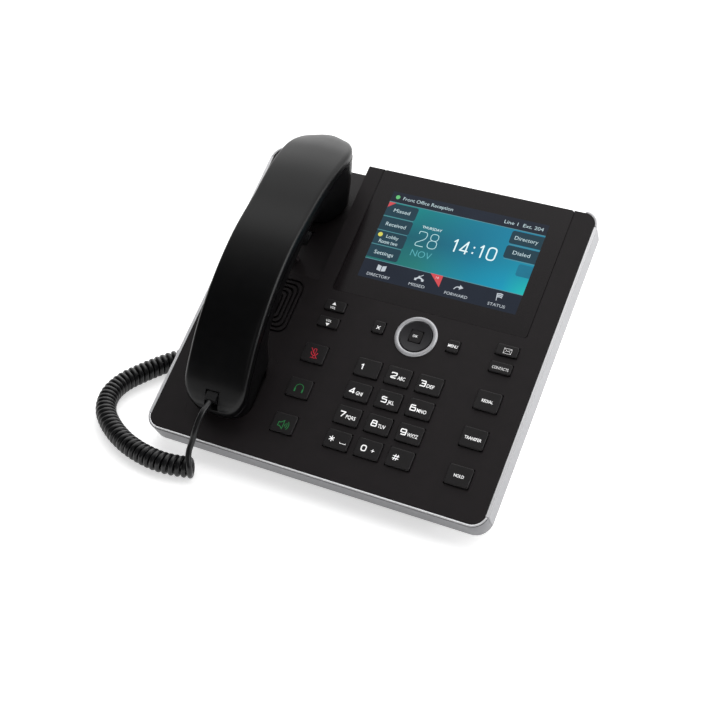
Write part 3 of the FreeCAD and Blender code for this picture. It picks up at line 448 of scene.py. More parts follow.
class Artwork:
    """Flat shapes in face millimetres that become one mesh on one body."""

    CAP_HEIGHT = 0.682

    def __init__(self, level):
        self.level = level
        self.mesh = bmesh.new()

    def polygon(self, points):
        self.mesh.faces.new([self.mesh.verts.new((x, v, self.level)) for x, v in points])

    def rectangle(self, left, low, right, high, corners=(0, 0, 0, 0), steps=5):
        """A rectangle, with the radii of its lower left, lower right, upper right, upper left corners."""
        points = []
        turns = ((left, low, 1, 1, 180), (right, low, -1, 1, 270), (right, high, -1, -1, 0),
                 (left, high, 1, -1, 90))
        for (x, v, inward_x, inward_v, start), radius in zip(turns, corners):
            if not radius:
                points.append((x, v))
                continue
            for step in range(steps + 1):
                angle = math.radians(start + 90 * step / steps)
                points.append((x + inward_x * radius + radius * math.cos(angle),
                               v + inward_v * radius + radius * math.sin(angle)))
        self.polygon(points)

    def ribbon(self, points, width, closed=False):
        """A line of even width along points."""
        spots = [Vector(p) for p in points]
        count = len(spots)
        sides = []
        for index, spot in enumerate(spots):
            before = spots[index - 1] if closed or index else spot
            after = spots[(index + 1) % count] if closed or index < count - 1 else spot
            first = (spot - before).normalized() if spot != before else (after - spot).normalized()
            second = (after - spot).normalized() if after != spot else first
            across = Vector((-(first + second).y, (first + second).x)).normalized()
            reach = width / 2 / max(0.4, across.dot(Vector((-first.y, first.x))))
            edges = (spot + across * reach, spot - across * reach)
            sides.append([self.mesh.verts.new((*edge, self.level)) for edge in edges])
        for index in range(count if closed else count - 1):
            here, there = sides[index], sides[(index + 1) % count]
            self.mesh.faces.new((here[0], here[1], there[1], there[0]))

    def disc(self, x, v, radius, steps=24):
        turn = 2 * math.pi / steps
        self.polygon([(x + radius * math.cos(turn * i), v + radius * math.sin(turn * i))
                      for i in range(steps)])

    def arc(self, x, v, radius, start, end, width, steps=16):
        angles = [math.radians(start + (end - start) * i / steps) for i in range(steps + 1)]
        self.ribbon([(x + radius * math.cos(a), v + radius * math.sin(a)) for a in angles], width)

    def numeral(self, figure, x, v, wide, tall, width, roundness=0.16):
        """A numeral made of round-cornered strokes, its lower left corner at (x, v)."""
        radius = 0.02 if figure in "147" else tall * roundness
        for points, closed in NUMERALS[figure]:
            path = softened([(x + a * wide, v + b * tall) for a, b in points], radius, closed)
            self.ribbon(path, width, closed)

    def text(self, words, x, v, height, align="LEFT", wide=None, weight=0.0):
        """Words whose capitals are height tall, with the baseline at v, fitted to a width if asked."""
        letters = bpy.data.curves.new("letters", "FONT")
        letters.body = words
        letters.offset = weight
        letters.resolution_u = 3
        holder = added("letters", letters)
        shape = evaluated_mesh(holder)
        size = height / self.CAP_HEIGHT
        spots = [vertex.co.x for vertex in shape.vertices]
        first, span = min(spots), max(spots) - min(spots)
        across = wide / span if wide else size
        start = x - (first + span * {"LEFT": 0.0, "CENTER": 0.5, "RIGHT": 1.0}[align]) * across
        stretch = Matrix.Diagonal((across, size, 1, 1))
        shape.transform(Matrix.Translation((start, v, self.level)) @ stretch)
        self.mesh.from_mesh(shape)
        bpy.data.objects.remove(holder)
        bpy.data.curves.remove(letters)
        bpy.data.meshes.remove(shape)

    def place(self, name, material, body, slot):
        mesh = bpy.data.meshes.new(name)
        bmesh.ops.recalc_face_normals(self.mesh, faces=self.mesh.faces)
        for face in self.mesh.faces:
            face.normal_update()
            if face.normal.z < 0:
                face.normal_flip()
        self.mesh.to_mesh(mesh)
        self.mesh.free()
        mesh.transform(FACE)
        mesh.materials.append(material)
        piece = added(name, mesh)
        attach(piece, body)


# Key legends

DIGIT_TALL, DIGIT_WIDE, DIGIT_STROKE = 3.4, 3.3, 0.74
LETTER_TALL = 2.3
WORD_TALL = 1.85
# Left ends of the figures and letters in the three columns, and baselines of the four rows.
DIGIT_STARTS = (120.3, 141.8, 161.2)
LETTER_STARTS = (124.7, 146.2, 165.6)
BASELINES = (72.9, 56.1, 39.7, 22.9)
# Each key's node, its figure, its letters and their width.
DIGIT_KEYS = (
    (("key_1", "1", "", 0), ("key_2", "2", "ABC", 4.9), ("key_3", "3", "DEF", 4.9)),
    (("key_4", "4", "GHI", 4.4), ("key_5", "5", "JKL", 4.3), ("key_6", "6", "MNO", 6.2)),
    (("key_7", "7", "PQRS", 6.4), ("key_8", "8", "TUV", 4.9), ("key_9", "9", "WXYZ", 7.0)),
)
# Each key's node, its word, its middle and the word's width and weight.
WORD_KEYS = (
    ("redial_key", "REDIAL", 204.8, 74.8, 7.2, 0.018),
    ("transfer_key", "TRANSFER", 204.8, 49.7, 10.7, 0.018),
    ("hold_key", "HOLD", 205.0, 25.2, 6.3, 0.018),
    ("contacts_key", "CONTACTS", 204.9, 97.4, 10.4, -0.006),
    ("menu_key", "MENU", 171.7, 103.5, 6.3, 0.018),
)


def key_art(top=KEY_TOP):
    return Artwork(top + LEGEND_LIFT)


def print_on(key, art, ink=GLOWING_WHITE_INK, slot="key_plastic"):
    art.place(key + "_legend", ink, key, slot)


def digit_legends():
    for baseline, keys in zip(BASELINES, DIGIT_KEYS):
        for figure_x, letters_x, (node, figure, letters, wide) in zip(DIGIT_STARTS, LETTER_STARTS, keys):
            art = key_art()
            art.numeral(figure, figure_x, baseline + 0.35, DIGIT_WIDE, DIGIT_TALL, DIGIT_STROKE)
            if letters:
                art.text(letters, letters_x, baseline, LETTER_TALL, "LEFT", wide, 0.014)
            print_on(node, art)


def symbol_legends():
    """The bottom row: a star with a space mark, nought with a plus sign, and the hash sign."""
    baseline = BASELINES[-1]
    art = key_art()
    for turn in range(6):
        angle = math.radians(30 + 60 * turn)
        art.ribbon([(121.7, 24.9), (121.7 + 1.9 * math.cos(angle), 24.9 + 1.9 * math.sin(angle))], 0.55)
    art.ribbon([(127.6, 24.1), (127.6, 23.4), (131.4, 23.4), (131.4, 24.1)], 0.32)
    print_on("key_star", art)
    art = key_art()
    art.numeral("0", DIGIT_STARTS[1], baseline + 0.3, DIGIT_WIDE * 0.9, DIGIT_TALL, DIGIT_STROKE, 0.36)
    art.ribbon([(148.2, 24.6), (150.4, 24.6)], 0.4)
    art.ribbon([(149.3, 23.5), (149.3, 25.7)], 0.4)
    print_on("key_0", art)
    art = key_art()
    for across in (0.0, 1.5):
        art.ribbon([(163.2 + across, baseline + 0.2), (164.2 + across, baseline + 4.0)], 0.5)
        art.ribbon([(162.3, baseline + 1.4 + across), (166.4, baseline + 1.4 + across)], 0.5)
    print_on("key_hash", art)


def word_legends():
    for node, word, x, v, wide, weight in WORD_KEYS:
        art = key_art()
        art.text(word, x, v - WORD_TALL / 2, WORD_TALL, "CENTER", wide, weight)
        print_on(node, art)


def volume_legends():
    for node, x, v, tip in (("volume_up_key", 87.3, 108.1, 112.1), ("volume_down_key", 88.4, 98.7, 95.0)):
        art = key_art()
        foot = tip - math.copysign(2.0, tip - v)
        art.polygon([(x - 1.4, foot), (x, tip), (x + 1.4, foot)])
        art.text("VOL", x, v - 0.75, 1.5, "CENTER", 3.9, 0.006)
        print_on(node, art)


def navigation_legends():
    art = key_art()
    for slope in (1, -1):
        art.ribbon([(120.4, 102.9 - 1.1 * slope), (122.6, 102.9 + 1.1 * slope)], 0.46)
    print_on("cancel_key", art)
    art = key_art(OK_TOP)
    art.text("OK", 146.2, 103.2, 1.5, "CENTER", 3.4, 0.014)
    print_on("ok_key", art, GLOWING_WHITE_INK, "nav_plastic")
    art = key_art()
    art.ribbon([(202.9, 107.7), (207.8, 107.7), (207.8, 111.1), (202.9, 111.1)], 0.18, closed=True)
    art.ribbon([(203.0, 111.0), (205.35, 109.2), (207.7, 111.0)], 0.17)
    art.ribbon([(203.0, 107.8), (204.6, 109.6)], 0.14)
    art.ribbon([(207.7, 107.8), (206.1, 109.6)], 0.14)
    print_on("voicemail_key", art)


def audio_legends():
    art = key_art()
    capsule = softened([(87.4, 74.8), (89.0, 74.8), (89.0, 78.1), (87.4, 78.1)], 0.8, closed=True)
    art.ribbon(capsule, 0.4, closed=True)
    art.arc(88.2, 75.6, 2.2, 180, 360, 0.45)
    art.ribbon([(88.2, 73.4), (88.2, 71.8)], 0.45)
    art.ribbon([(86.6, 71.7), (89.8, 71.7)], 0.45)
    art.ribbon([(85.3, 78.2), (91.0, 71.6)], 0.5)
    print_on("mute_key", art, GLOWING_RED_INK)
    art = key_art()
    art.arc(88.5, 50.0, 2.7, -10, 190, 0.36)
    for side in (1, -1):
        middle = 88.5 + side * 2.6
        art.rectangle(middle - 0.42, 47.2, middle + 0.42, 49.6, (0.3, 0.3, 0.3, 0.3))
    print_on("headset_key", art, GLOWING_GREEN_INK)
    art = key_art()
    horn = [(85.0, 23.1), (86.4, 23.1), (88.4, 21.5), (88.4, 27.1), (86.4, 25.5), (85.0, 25.5)]
    art.ribbon(horn, 0.4, closed=True)
    for reach in (1.4, 2.6, 3.8):
        art.arc(88.3, 24.3, reach, -42, 42, 0.4, 8)
    print_on("speaker_key", art, GLOWING_GREEN_INK)


# The display

SCREEN_LEFT, SCREEN_RIGHT = 93.3, 201.0
SCREEN_LOW, SCREEN_HIGH = 134.8, 200.0
BAR_LOW = 148.6
BAR_HIGH = 192.1
TAB_RIGHT, RIGHT_TAB_LEFT = 114.9, 179.7
TAB_CORNER = 1.6
ICON_WORD_LEVEL, ICON_WORD_HIGH = 137.0, 1.95
# The display's picture lies just above its glass, in thin layers.
PICTURE_LIFT, LAYER = 0.02, 0.012


def screen_art(layer):
    return Artwork(PICTURE_LIFT + LAYER * layer)


def light_up(name, art, shade, strength=1.0):
    """Put artwork on the display, lit in one colour of 0 to 255 screen values."""
    art.place(name, lit(name.replace("_", " "), colour(*shade), strength), "root", "lcd")


def screen_background():
    art = screen_art(0)
    art.rectangle(SCREEN_LEFT, BAR_LOW, SCREEN_RIGHT, BAR_HIGH)
    art.place("screen_wallpaper", wallpaper("screen wallpaper"), "root", "lcd")
    art = screen_art(0)
    art.rectangle(SCREEN_LEFT, SCREEN_LOW, SCREEN_RIGHT, BAR_LOW)
    art.rectangle(SCREEN_LEFT, BAR_HIGH, SCREEN_RIGHT, SCREEN_HIGH)
    light_up("screen_bars", art, (27, 35, 49))


def screen_tabs():
    art = screen_art(1)
    for low, high in ((181.5, 191.3), (170.7, 180.6), (160.0, 169.9), (150.0, 159.2)):
        art.rectangle(SCREEN_LEFT, low, TAB_RIGHT, high, (0, TAB_CORNER, TAB_CORNER, 0))
    for low, high in ((181.7, 191.1), (171.0, 180.3)):
        art.rectangle(RIGHT_TAB_LEFT, low, SCREEN_RIGHT, high, (TAB_CORNER, 0, 0, TAB_CORNER))
    light_up("screen_tabs", art, (28, 62, 76))
    art = screen_art(1)
    art.rectangle(191.5, 160.6, SCREEN_RIGHT, 169.2, (TAB_CORNER, 0, 0, TAB_CORNER))
    light_up("screen_faint_tab", art, (20, 118, 146))


def screen_lines():
    art = screen_art(2)
    for v in (BAR_LOW, BAR_HIGH):
        art.rectangle(SCREEN_LEFT, v - 0.22, SCREEN_RIGHT, v + 0.22)
    for v in (159.6, 170.3, 181.05):
        art.rectangle(SCREEN_LEFT, v - 0.2, TAB_RIGHT - 0.6, v + 0.2)
    for v in (170.6, 181.0):
        art.rectangle(180.6, v - 0.2, SCREEN_RIGHT, v + 0.2)
    light_up("screen_lines", art, (92, 148, 160))


# The words on the tabs: each with its middle, its baseline and its width.
TAB_WORDS = (
    ("Missed", 104.4, 185.1, 11.4), ("Received", 104.2, 174.4, 14.0), ("Settings", 104.2, 152.9, 13.4),
    ("Lobby", 105.4, 165.6, 8.6), ("Room two", 104.0, 161.3, 13.0), ("Directory", 190.4, 185.1, 15.6),
    ("Dialed", 190.6, 174.7, 11.4),
)


def screen_words():
    art = screen_art(3)
    art.text("Front Office Reception", 101.6, 194.9, 2.4, "LEFT", 35.2)
    art.text("Line 1  Ext. 204", 198.4, 194.9, 2.4, "RIGHT", 26.2)
    for word, x, v, wide in TAB_WORDS:
        art.text(word, x, v, 2.6 if wide > 11 else 2.3, "CENTER", wide)
    light_up("screen_small_words", art, (208, 232, 238))
    art = screen_art(3)
    art.text("THURSDAY", 128.6, 178.3, 1.8, "CENTER", 13.6, 0.004)
    for figure, left in zip("1410", (145.0, 151.4, 162.8, 169.6)):
        art.numeral(figure, left, 166.9, 5.3, 8.9, 0.95, 0.3)
    for v in (169.0, 173.0):
        art.rectangle(159.5, v - 0.6, 160.6, v + 0.6)
    light_up("screen_time", art, (232, 252, 254), 1.1)
    art = screen_art(3)
    art.numeral("2", 121.6, 165.1, 5.7, 10.7, 0.5, 0.28)
    art.numeral("8", 129.6, 165.1, 6.0, 10.7, 0.5, 0.28)
    light_up("screen_day", art, (190, 234, 238))
    art = screen_art(3)
    art.text("NOV", 128.2, 157.3, 4.7, "CENTER", 14.0, -0.012)
    light_up("screen_month", art, (96, 186, 196))


def book_icon(art, x, v):
    for side in (1, -1):
        art.polygon([(x + side * 0.25, v - 2.0), (x + side * 3.0, v - 1.4), (x + side * 3.0, v + 2.4),
                     (x + side * 0.25, v + 1.8)][::side])


def handset_icon(art, x, v):
    art.arc(x, v - 2.6, 2.5, 20, 160, 1.0)
    for side in (1, -1):
        art.rectangle(x + side * 2.4 - 0.75, v - 2.3, x + side * 2.4 + 0.75, v - 0.7)
    art.ribbon([(x - 0.4, v + 0.6), (x + 1.9, v + 2.4)], 0.45)
    art.polygon([(x - 1.4, v + 0.1), (x + 0.3, v + 0.2), (x - 0.6, v + 1.5)])


def forward_icon(art, x, v):
    art.arc(x - 0.2, v - 2.4, 2.6, 85, 170, 0.6)
    art.polygon([(x - 0.5, v - 0.4), (x + 0.6, v - 0.4), (x + 0.6, v + 0.5), (x - 0.5, v + 0.5)])
    art.polygon([(x + 0.4, v - 1.6), (x + 3.0, v + 0.1), (x + 0.4, v + 1.8)])


def flag_icon(art, x, v):
    art.ribbon([(x - 1.9, v + 2.5), (x - 1.0, v - 2.6)], 0.45)
    for low, high in ((-0.4, 0.3), (0.7, 1.4), (1.8, 2.5)):
        art.polygon([(x - 1.6, v + low), (x + 0.3, v + low + 0.4), (x + 2.0, v + low), (x + 2.0, v + high),
                     (x + 0.3, v + high + 0.4), (x - 1.6, v + high)])


def screen_icons():
    art = screen_art(3)
    for icon, x, v in ((book_icon, 106.8, 143.4), (handset_icon, 133.6, 143.6),
                       (forward_icon, 160.4, 143.6), (flag_icon, 187.2, 143.6)):
        icon(art, x, v)
    for word, x, wide in (("DIRECTORY", 106.8, 16.0), ("MISSED", 133.6, 10.9),
                          ("FORWARD", 160.4, 15.4), ("STATUS", 187.4, 11.4)):
        art.text(word, x, ICON_WORD_LEVEL, ICON_WORD_HIGH, "CENTER", wide)
    light_up("screen_icons", art, (206, 214, 222))
    art = screen_art(3)
    art.polygon([(139.2, BAR_LOW), (147.9, 140.4), (147.9, BAR_LOW)])
    art.polygon([(SCREEN_LEFT + 0.2, 187.6), (98.2, 191.7), (SCREEN_LEFT + 0.2, 191.7)])
    light_up("screen_red", art, (214, 78, 84))
    art = screen_art(4)
    art.text("14", 144.6, 145.7, 1.7, "CENTER")
    light_up("screen_count", art, (246, 214, 214))
    for name, x, v, radius, shade in (("green", 97.7, 196.2, 1.5, (108, 206, 128)),
                                      ("yellow", 96.6, 167.1, 1.6, (222, 216, 96))):
        art = screen_art(3)
        art.disc(x, v, radius)
        light_up("screen_" + name + "_dot", art, shade)


# The cord

LEAD = (
    (45.0, 8.7, 43.6), (45.0, 3.0, 42.4), (44.7, -4.0, 40.4), (43.9, -10.6, 33.0), (42.9, -13.6, 25.0),
    (41.7, -17.6, 18.4),
)
COIL = (
    (43.5, -16.6, 7.1), (32, -19.9, 7.1), (18.5, -20.4, 7.1), (3.5, -17.6, 7.1), (-11.5, -12, 7.1),
    (-26.8, -2.6, 7.1), (-40, 9.6, 7.1), (-47.2, 25.2, 7.1), (-47.6, 41, 7.1), (-42.2, 55.5, 7.1),
    (-35.5, 70, 7.1), (-27.5, 83.5, 7.1), (-15.5, 92, 7.1), (-3, 96.5, 7.1),
)
BASE_LEAD = ((3.5, 101.2, 11.8), (9.5, 100, 12), (17.5, 100, 12))
CORD_DIAMETER = 3.8
COIL_RADIUS = 5.0
COIL_PITCH = 4.15
STEPS_PER_TURN = 22
# The coil's direction is taken at so many even spans of its route, and blended between them.
DIRECTION_SPANS = 80


def smooth_line(points, name):
    """Points along the NURBS spline whose control points are a route's points."""
    curve = bpy.data.curves.new(name, "CURVE")
    curve.dimensions = "3D"
    curve.resolution_u = 24
    spline = curve.splines.new("NURBS")
    spline.points.add(len(points) - 1)
    for point, spot in zip(spline.points, points):
        point.co = (*spot, 1.0)
    spline.order_u = 3
    spline.use_endpoint_u = True
    holder = added(name, curve)
    shape = evaluated_mesh(holder)
    line = [vertex.co.copy() for vertex in shape.vertices]
    bpy.data.objects.remove(holder)
    bpy.data.curves.remove(curve)
    bpy.data.meshes.remove(shape)
    return line


def distances(line):
    """The length along a line up to each of its points."""
    total = [0.0]
    for before, after in zip(line, line[1:]):
        total.append(total[-1] + (after - before).length)
    return total


def at_distance(line, lengths, distance):
    """The spot at a distance along a line, and the direction there."""
    index = max(1, next((i for i, length in enumerate(lengths) if length >= distance), len(lengths) - 1))
    step = lengths[index] - lengths[index - 1]
    part = (distance - lengths[index - 1]) / step
    return line[index - 1].lerp(line[index], part), (line[index] - line[index - 1]).normalized()


def helix(line):
    """Turns around a line that start on its outer side, going down, and end on its top."""
    lengths = distances(line)
    turns = round(lengths[-1] / (COIL_PITCH * MM)) + 0.75
    steps = round(turns * STEPS_PER_TURN)
    directions = [at_distance(line, lengths, lengths[-1] * i / DIRECTION_SPANS)[1]
                  for i in range(DIRECTION_SPANS + 1)]
    spots = []
    for step in range(steps + 1):
        distance = lengths[-1] * step / steps
        centre = at_distance(line, lengths, distance)[0]
        here = DIRECTION_SPANS * step / steps
        low = min(int(here), DIRECTION_SPANS - 1)
        direction = directions[low].lerp(directions[low + 1], here - low).normalized()
        side = direction.cross(Vector((0, 0, 1))).normalized()
        up = side.cross(direction)
        angle = -math.pi / 2 - 2 * math.pi * step / STEPS_PER_TURN
        spots.append(centre + (up * math.cos(angle) + side * math.sin(angle)) * COIL_RADIUS * MM)
    return spots


def loft(name, loops, ring=False):
    """A closed mesh through loops of as many spots each; a ring's last loop joins its first."""
    mesh = bmesh.new()
    rings = [[mesh.verts.new(spot) for spot in loop] for loop in loops]
    count = len(rings[0])
    followers = rings[1:] + rings[:1] if ring else rings[1:]
    for here, there in zip(rings, followers):
        for i in range(count):
            mesh.faces.new((here[i], here[(i + 1) % count], there[(i + 1) % count], there[i]))
    if not ring:
        mesh.faces.new(rings[0][::-1])
        mesh.faces.new(rings[-1])
    bmesh.ops.recalc_face_normals(mesh, faces=mesh.faces)
    data = bpy.data.meshes.new(name)
    mesh.to_mesh(data)
    mesh.free()
    return added(name, data)


def tube(name, line, radius, sides=10):
    """A closed tube along a line of spots, without twist."""
    count = len(line)
    directions = [(line[min(i + 1, count - 1)] - line[max(i - 1, 0)]).normalized() for i in range(count)]
    across = directions[0].orthogonal().normalized()
    turns = [2 * math.pi * i / sides for i in range(sides)]
    loops = []
    for spot, direction in zip(line, directions):
        across = (across - direction * across.dot(direction)).normalized()
        beside = direction.cross(across)
        loops.append([spot + (across * math.cos(turn) + beside * math.sin(turn)) * radius
                      for turn in turns])
    piece = loft(name, loops)
    piece.data.shade_smooth()
    return piece


def joined_line(lead, coil, base):
    """The cord's whole line; its ends run smoothly out of the coil's first and last turns."""
    reach = 6 * MM
    start, end = coil[2], coil[-3]
    ahead = (coil[3] - coil[1]).normalized()
    onward = (coil[-2] - coil[-4]).normalized()
    into_coil = smooth_line(lead + [start - ahead * reach, start], "lead route")
    out_of_coil = smooth_line([end, end + onward * reach] + base, "base lead route")
    before = [spot for spot in into_coil if (spot - start).length > MM]
    after = [spot for spot in out_of_coil if (spot - end).length > MM]
    return before + coil[2:-2] + after


def handset_cord():
    coil = helix(smooth_line([desk_point(*p) for p in COIL], "coil route"))
    line = joined_line([desk_point(*p) for p in LEAD], coil, [desk_point(*p) for p in BASE_LEAD])
    cord = tube("handset_cord", line, CORD_DIAMETER * MM / 2)
    cord.data.materials.append(FINISHES["cord_sheath"])
    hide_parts("cord_lead", "cord_coil", "cord_base_lead")
    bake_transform(cord)


# The handset. Its stations run along v; towards the ear end they lean over, as the end wall does.

GRIP_X, GRIP_HALF = 45.0, 22.0
GRIP_LOW, GRIP_HIGH = 15.9, 218.4
MOUTH_CORNER = 15.0
EAR_CORNER_WIDE, EAR_CORNER_LONG = 18.5, 28.0
EAR_FLARE, FLARE_FROM, FLARE_FULL = 1.3, 150.0, 190.0
END_LEAN, LEAN_FROM, LEAN_FULL = 0.69, 165.0, 215.0
LEAN_LEVEL = 18.0
PARTING = 7.0
# How far each shell stops from the parting line, and how much narrower the upper one is a side.
PARTING_GAP, UPPER_INSET = 0.08, 0.2
# The slot for the cord's plug, from its lowest to its highest corner.
PLUG_SLOT = ((GRIP_X - 4.8, 5.0, 13.6), (GRIP_X + 4.8, 26.0, 40.0))
CROWN_FALL, EAR_CROWN_FALL = 0.5, 1.6
# Heights of the crown and of the underside at stations, as (station, n).
CROWN = (
    (15.9, 11.0), (16.6, 13.8), (18.2, 16.3), (20.6, 18.3), (23.0, 20.2), (31.0, 25.9), (40.0, 30.9),
    (60.0, 39.6), (90.0, 46.8), (121.0, 48.9), (150.0, 45.4), (176.0, 41.2), (193.0, 34.4), (204.0, 28.8),
    (213.5, 23.6), (217.2, 20.8), (218.4, 17.6),
)
UNDERSIDE = (
    (15.9, 7.0), (16.8, 3.8), (18.6, 1.4), (21.0, -0.2), (25.0, -0.9), (58.5, -0.9), (61.5, 1.0),
    (64.5, 7.2), (70.0, 15.6), (78.0, 20.4), (86.0, 23.4), (108.0, 27.2), (130.0, 27.4), (142.0, 24.8),
    (151.0, 19.0), (158.0, 11.6), (163.0, 4.4), (166.5, -1.8), (170.0, -4.8), (190.0, -7.2),
    (205.0, -8.4), (215.0, -9.5), (218.4, -10.0),
)
# How far each side draws in from the parting line to the underside at stations: the ear cup is round.
DRAWN_IN = (
    (15.9, 2.5), (60.0, 4.5), (80.0, 3.4), (130.0, 3.4), (144.0, 5.5), (156.0, 11.5), (164.0, 13.0),
    (171.0, 9.4), (178.0, 6.4), (187.0, 4.6), (200.0, 3.6), (218.4, 2.5),
)


def height_at(points, station):
    """A smooth curve through (station, height) points."""
    index = next((i for i in range(1, len(points) - 1) if station < points[i][0]), len(points) - 1)
    (s0, h0), (s1, h1) = points[index - 1], points[index]
    slope = (h1 - h0) / (s1 - s0)
    before = (h1 - points[index - 2][1]) / (s1 - points[index - 2][0]) if index > 1 else slope
    after = (points[index + 1][1] - h0) / (points[index + 1][0] - s0) if index < len(points) - 1 else slope
    part, span = (station - s0) / (s1 - s0), s1 - s0
    return (h0 * (1 + 2 * part) * (1 - part) ** 2 + before * span * part * (1 - part) ** 2
            + h1 * part ** 2 * (3 - 2 * part) + after * span * part ** 2 * (part - 1))


def grip_stations():
    """Stations close together round both ends' corners and even along the middle."""
    mouth = [GRIP_LOW + MOUTH_CORNER * (1 - math.cos(math.pi / 2 * i / 16)) for i in range(16)]
    ear_start = GRIP_HIGH - EAR_CORNER_LONG
    middle_start = GRIP_LOW + MOUTH_CORNER
    middle = [middle_start + (ear_start - middle_start) * i / 52 for i in range(52)]
    ear = [ear_start + EAR_CORNER_LONG * math.sin(math.pi / 2 * i / 22) for i in range(23)]
    return mouth + middle + ear


def eased(station, start, full):
    """From 0 at the start station to 1 at the full one, with a smooth start and end."""
    part = min(1.0, max(0.0, (station - start) / (full - start)))
    return part * part * (3 - 2 * part)


def grip_half_width(station):
    from_mouth = GRIP_LOW + MOUTH_CORNER - station
    if from_mouth > 0:
        return GRIP_HALF - MOUTH_CORNER + math.sqrt(max(0.0, MOUTH_CORNER ** 2 - from_mouth ** 2))
    half = GRIP_HALF + EAR_FLARE * eased(station, FLARE_FROM, FLARE_FULL)
    part = max(0.0, (station - GRIP_HIGH) / EAR_CORNER_LONG + 1)
    return half - EAR_CORNER_WIDE * (1 - math.sqrt(max(0.0, 1 - part * part)))


def half_section(half, edge, end, rounding, fall):
    """Half a shell's section, from its middle at height edge round to its side at height end."""
    side = 1 if end > edge else -1
    rounding = min(rounding, half * 0.5, abs(end - edge) * 0.7)
    flat = half - rounding
    points = [(flat * part, edge + side * fall * part * part) for part in (0.0, 0.3, 0.6, 0.85, 1.0)]
    for angle in (15, 30, 45, 60, 75, 90):
        turn = math.radians(angle)
        points.append((flat + rounding * math.sin(turn),
                       edge + side * (fall + rounding * (1 - math.cos(turn)))))
    return points + [(half, end)]


def lower_half_section(half, parting, low, drawn_in):
    """Half the lower shell's section: its sides draw in, bulging a little, towards a rounded underside."""
    narrow = half - min(drawn_in, half * 0.65)
    points = half_section(narrow, low, parting, 4.0, 0.0)[:-1]
    side, foot = points[-1]
    for part in (0.25, 0.5, 0.75):
        bulge = 0.6 * part * (1 - part)
        points.append((side + (half - side) * (part + bulge), foot + (parting - foot) * part))
    return points + [(half, parting)]


def grip_spot(station, x, n):
    lean = END_LEAN * eased(station, LEAN_FROM, LEAN_FULL)
    return face_point(GRIP_X + x, station - lean * (LEAN_LEVEL - n), n)


def shell_loops(upper):
    loops = []
    for station in grip_stations():
        top, low = height_at(CROWN, station), height_at(UNDERSIDE, station)
        parting = max(top - PARTING, (top + low) / 2)
        half = grip_half_width(station)
        if upper:
            fall = CROWN_FALL + (EAR_CROWN_FALL - CROWN_FALL) * eased(station, LEAN_FROM, LEAN_FULL)
            points = half_section(half - UPPER_INSET, top, parting + PARTING_GAP, 3.0, min(fall, half * 0.2))
        else:
            points = lower_half_section(half, parting - PARTING_GAP, low, height_at(DRAWN_IN, station))
        loop = [(-x, n) for x, n in reversed(points)] + points[1:]
        loops.append([grip_spot(station, x, n) for x, n in loop])
    return loops


def cut_block(piece, low, high):
    """Cut a block between two corners in face millimetres out of a mesh."""
    corners = ((low[0], low[1]), (high[0], low[1]), (high[0], high[1]), (low[0], high[1]))
    cutter = loft("cutter", [[face_point(x, v, n) for x, v in corners] for n in (low[2], high[2])])
    difference = piece.modifiers.new("difference", "BOOLEAN")
    difference.object = cutter
    difference.solver = "EXACT"
    shape = evaluated_mesh(piece)
    piece.modifiers.remove(difference)
    bpy.data.objects.remove(cutter)
    whole = piece.data
    piece.data = shape
    bpy.data.meshes.remove(whole)


def handset_shells():
    """The two shells of the handset, with the slot for the cord's plug in the mouth end."""
    for name, node, upper in (("handset_upper", "handset_outer_shell", True),
                              ("handset_lower", "handset_inner_shell", False)):
        piece = loft(name, shell_loops(upper))
        cut_block(piece, *PLUG_SLOT)
        piece.data.materials.clear()
        piece.data.materials.append(FINISHES["handset_plastic"])
        piece.data.shade_smooth()
        piece.data.set_sharp_from_angle(angle=math.radians(38))
        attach(piece, "handset")
        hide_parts(node)


# The lip of the well that the handset's mouth end rests in. Its opening is a little larger than the mouth.

WELL = (20.2, 11.2, 69.8, 65.8)
WELL_OPENING = (26.2, 19.2, 63.8, 61.4)
WELL_CORNER, OPENING_CORNER = 9.0, 12.0
LIP_TOP, LIP_LOW = -0.05, -1.0


def rounded_loop(box, radius, n, steps=6):
    """A rectangle with round corners at height n above the face."""
    left, low, right, high = box
    middles = ((right - radius, high - radius, 0), (left + radius, high - radius, 90),
               (left + radius, low + radius, 180), (right - radius, low + radius, 270))
    loop = []
    for x, v, start in middles:
        for step in range(steps + 1):
            turn = math.radians(start + 90 * step / steps)
            loop.append(face_point(x + radius * math.cos(turn), v + radius * math.sin(turn), n))
    return loop


def well_lip():
    loops = [rounded_loop(WELL, WELL_CORNER, LIP_TOP), rounded_loop(WELL_OPENING, OPENING_CORNER, LIP_TOP),
             rounded_loop(WELL_OPENING, OPENING_CORNER, LIP_LOW), rounded_loop(WELL, WELL_CORNER, LIP_LOW)]
    piece = loft("well_lip", loops, ring=True)
    piece.data.materials.append(FINISHES["face_plastic"])
    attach(piece, "root")


# Camera, floor and light

FLOOR_REACH = 40.0
# The direction of the studio's bright panel, and the room's shade by how near a direction is to it.
PANEL = (0.0, 0.8, 0.6)
ROOM_SHADES = ((0.0, 0.03), (0.2, 0.04), (0.4, 0.2), (0.55, 0.5), (0.8, 1.0))
ROOM_STRENGTH = 2.0


def camera():
    """The camera stands to the right of the phone and above it, at the height of a seated user's eyes."""
    right, up, back = (0.8965, 0.4431, 0), (-0.2453, 0.4963, 0.8328), (0.3690, -0.7466, 0.5536)
    data = bpy.data.cameras.new("camera")
    data.lens = 69.8
    data.sensor_width = 36.0
    data.clip_start = 0.01
    holder = added("camera", data)
    matrix = Matrix((right, up, back)).transposed().to_4x4()
    matrix.translation = Vector((0.30935, -0.6607, 0.5325))
    holder.matrix_world = matrix
    bpy.context.scene.camera = holder


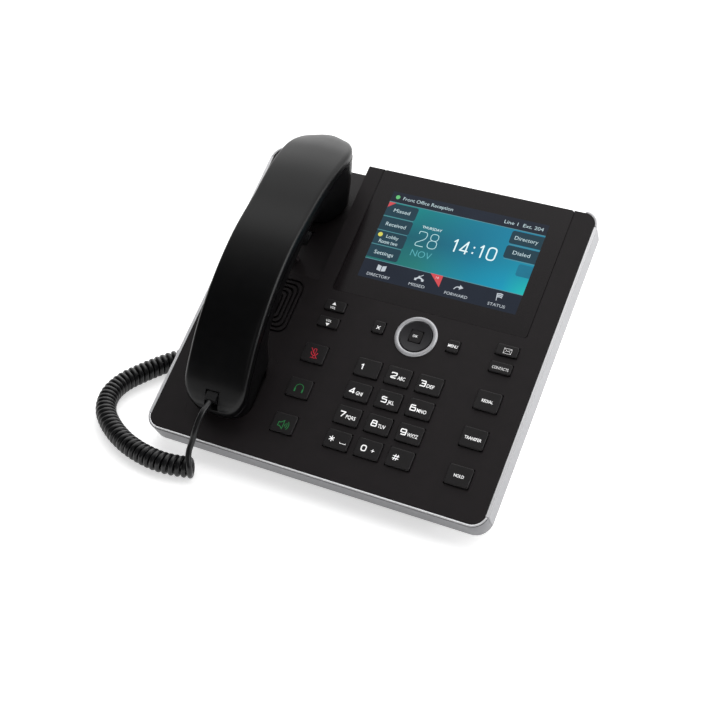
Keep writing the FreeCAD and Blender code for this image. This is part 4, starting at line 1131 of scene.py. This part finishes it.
def floor():
    """A plain white floor that glows a little, so that it stays white beside the phone."""
    finish = Finish("floor", (0.8, 0.8, 0.8, 1.0), 0.7, Specular_IOR_Level=0.1, Emission_Color=(1, 1, 1, 1))
    finish.shader.inputs["Emission Strength"].default_value = 0.6
    finish.mottled(60.0, 0.01)
    mesh = bpy.data.meshes.new("floor")
    reach = FLOOR_REACH
    corners = [(-reach, -reach, 0), (reach, -reach, 0), (reach, reach, 0), (-reach, reach, 0)]
    mesh.from_pydata(corners, [], [(0, 1, 2, 3)])
    mesh.materials.append(finish.material)
    added("floor", mesh)


def softbox(name, place, power, width, height):
    light = bpy.data.lights.new(name, "AREA")
    light.shape = "RECTANGLE"
    light.size, light.size_y = width, height
    light.energy = power
    holder = added(name, light)
    holder.location = place
    aim = Vector((0, 0, 0.05)) - Vector(place)
    holder.rotation_euler = aim.to_track_quat("-Z", "Y").to_euler()


def surroundings():
    """A dim room that brightens smoothly towards a large white panel above and behind the phone."""
    world = bpy.data.worlds.new("studio")
    world.use_nodes = True
    nodes, links = world.node_tree.nodes, world.node_tree.links
    towards = nearness_node(nodes, PANEL)
    links.new(nodes.new("ShaderNodeTexCoord").outputs["Generated"], towards.inputs[0])
    ramp = ramp_node(nodes, [(position, (shade, shade, shade, 1.0)) for position, shade in ROOM_SHADES])
    links.new(towards.outputs["Value"], ramp.inputs["Fac"])
    background = nodes["Background"]
    links.new(ramp.outputs["Color"], background.inputs["Color"])
    background.inputs["Strength"].default_value = ROOM_STRENGTH
    bpy.context.scene.world = world


def studio():
    surroundings()
    bpy.context.scene.view_settings.view_transform = "Standard"
    softbox("back softbox", (-0.2, 1.5, 1.3), 5, 1.8, 1.0)
    softbox("right softbox", (1.7, 0.2, 0.7), 12, 1.0, 1.0)
    softbox("front fill", (0.2, -1.6, 1.2), 1.2, 1.2, 0.8)


finish_cad_nodes()
round_edges()
digit_legends()
symbol_legends()
word_legends()
volume_legends()
navigation_legends()
audio_legends()
screen_background()
screen_tabs()
screen_lines()
screen_words()
screen_icons()
handset_cord()
handset_shells()
well_lip()
camera()
floor()
studio()
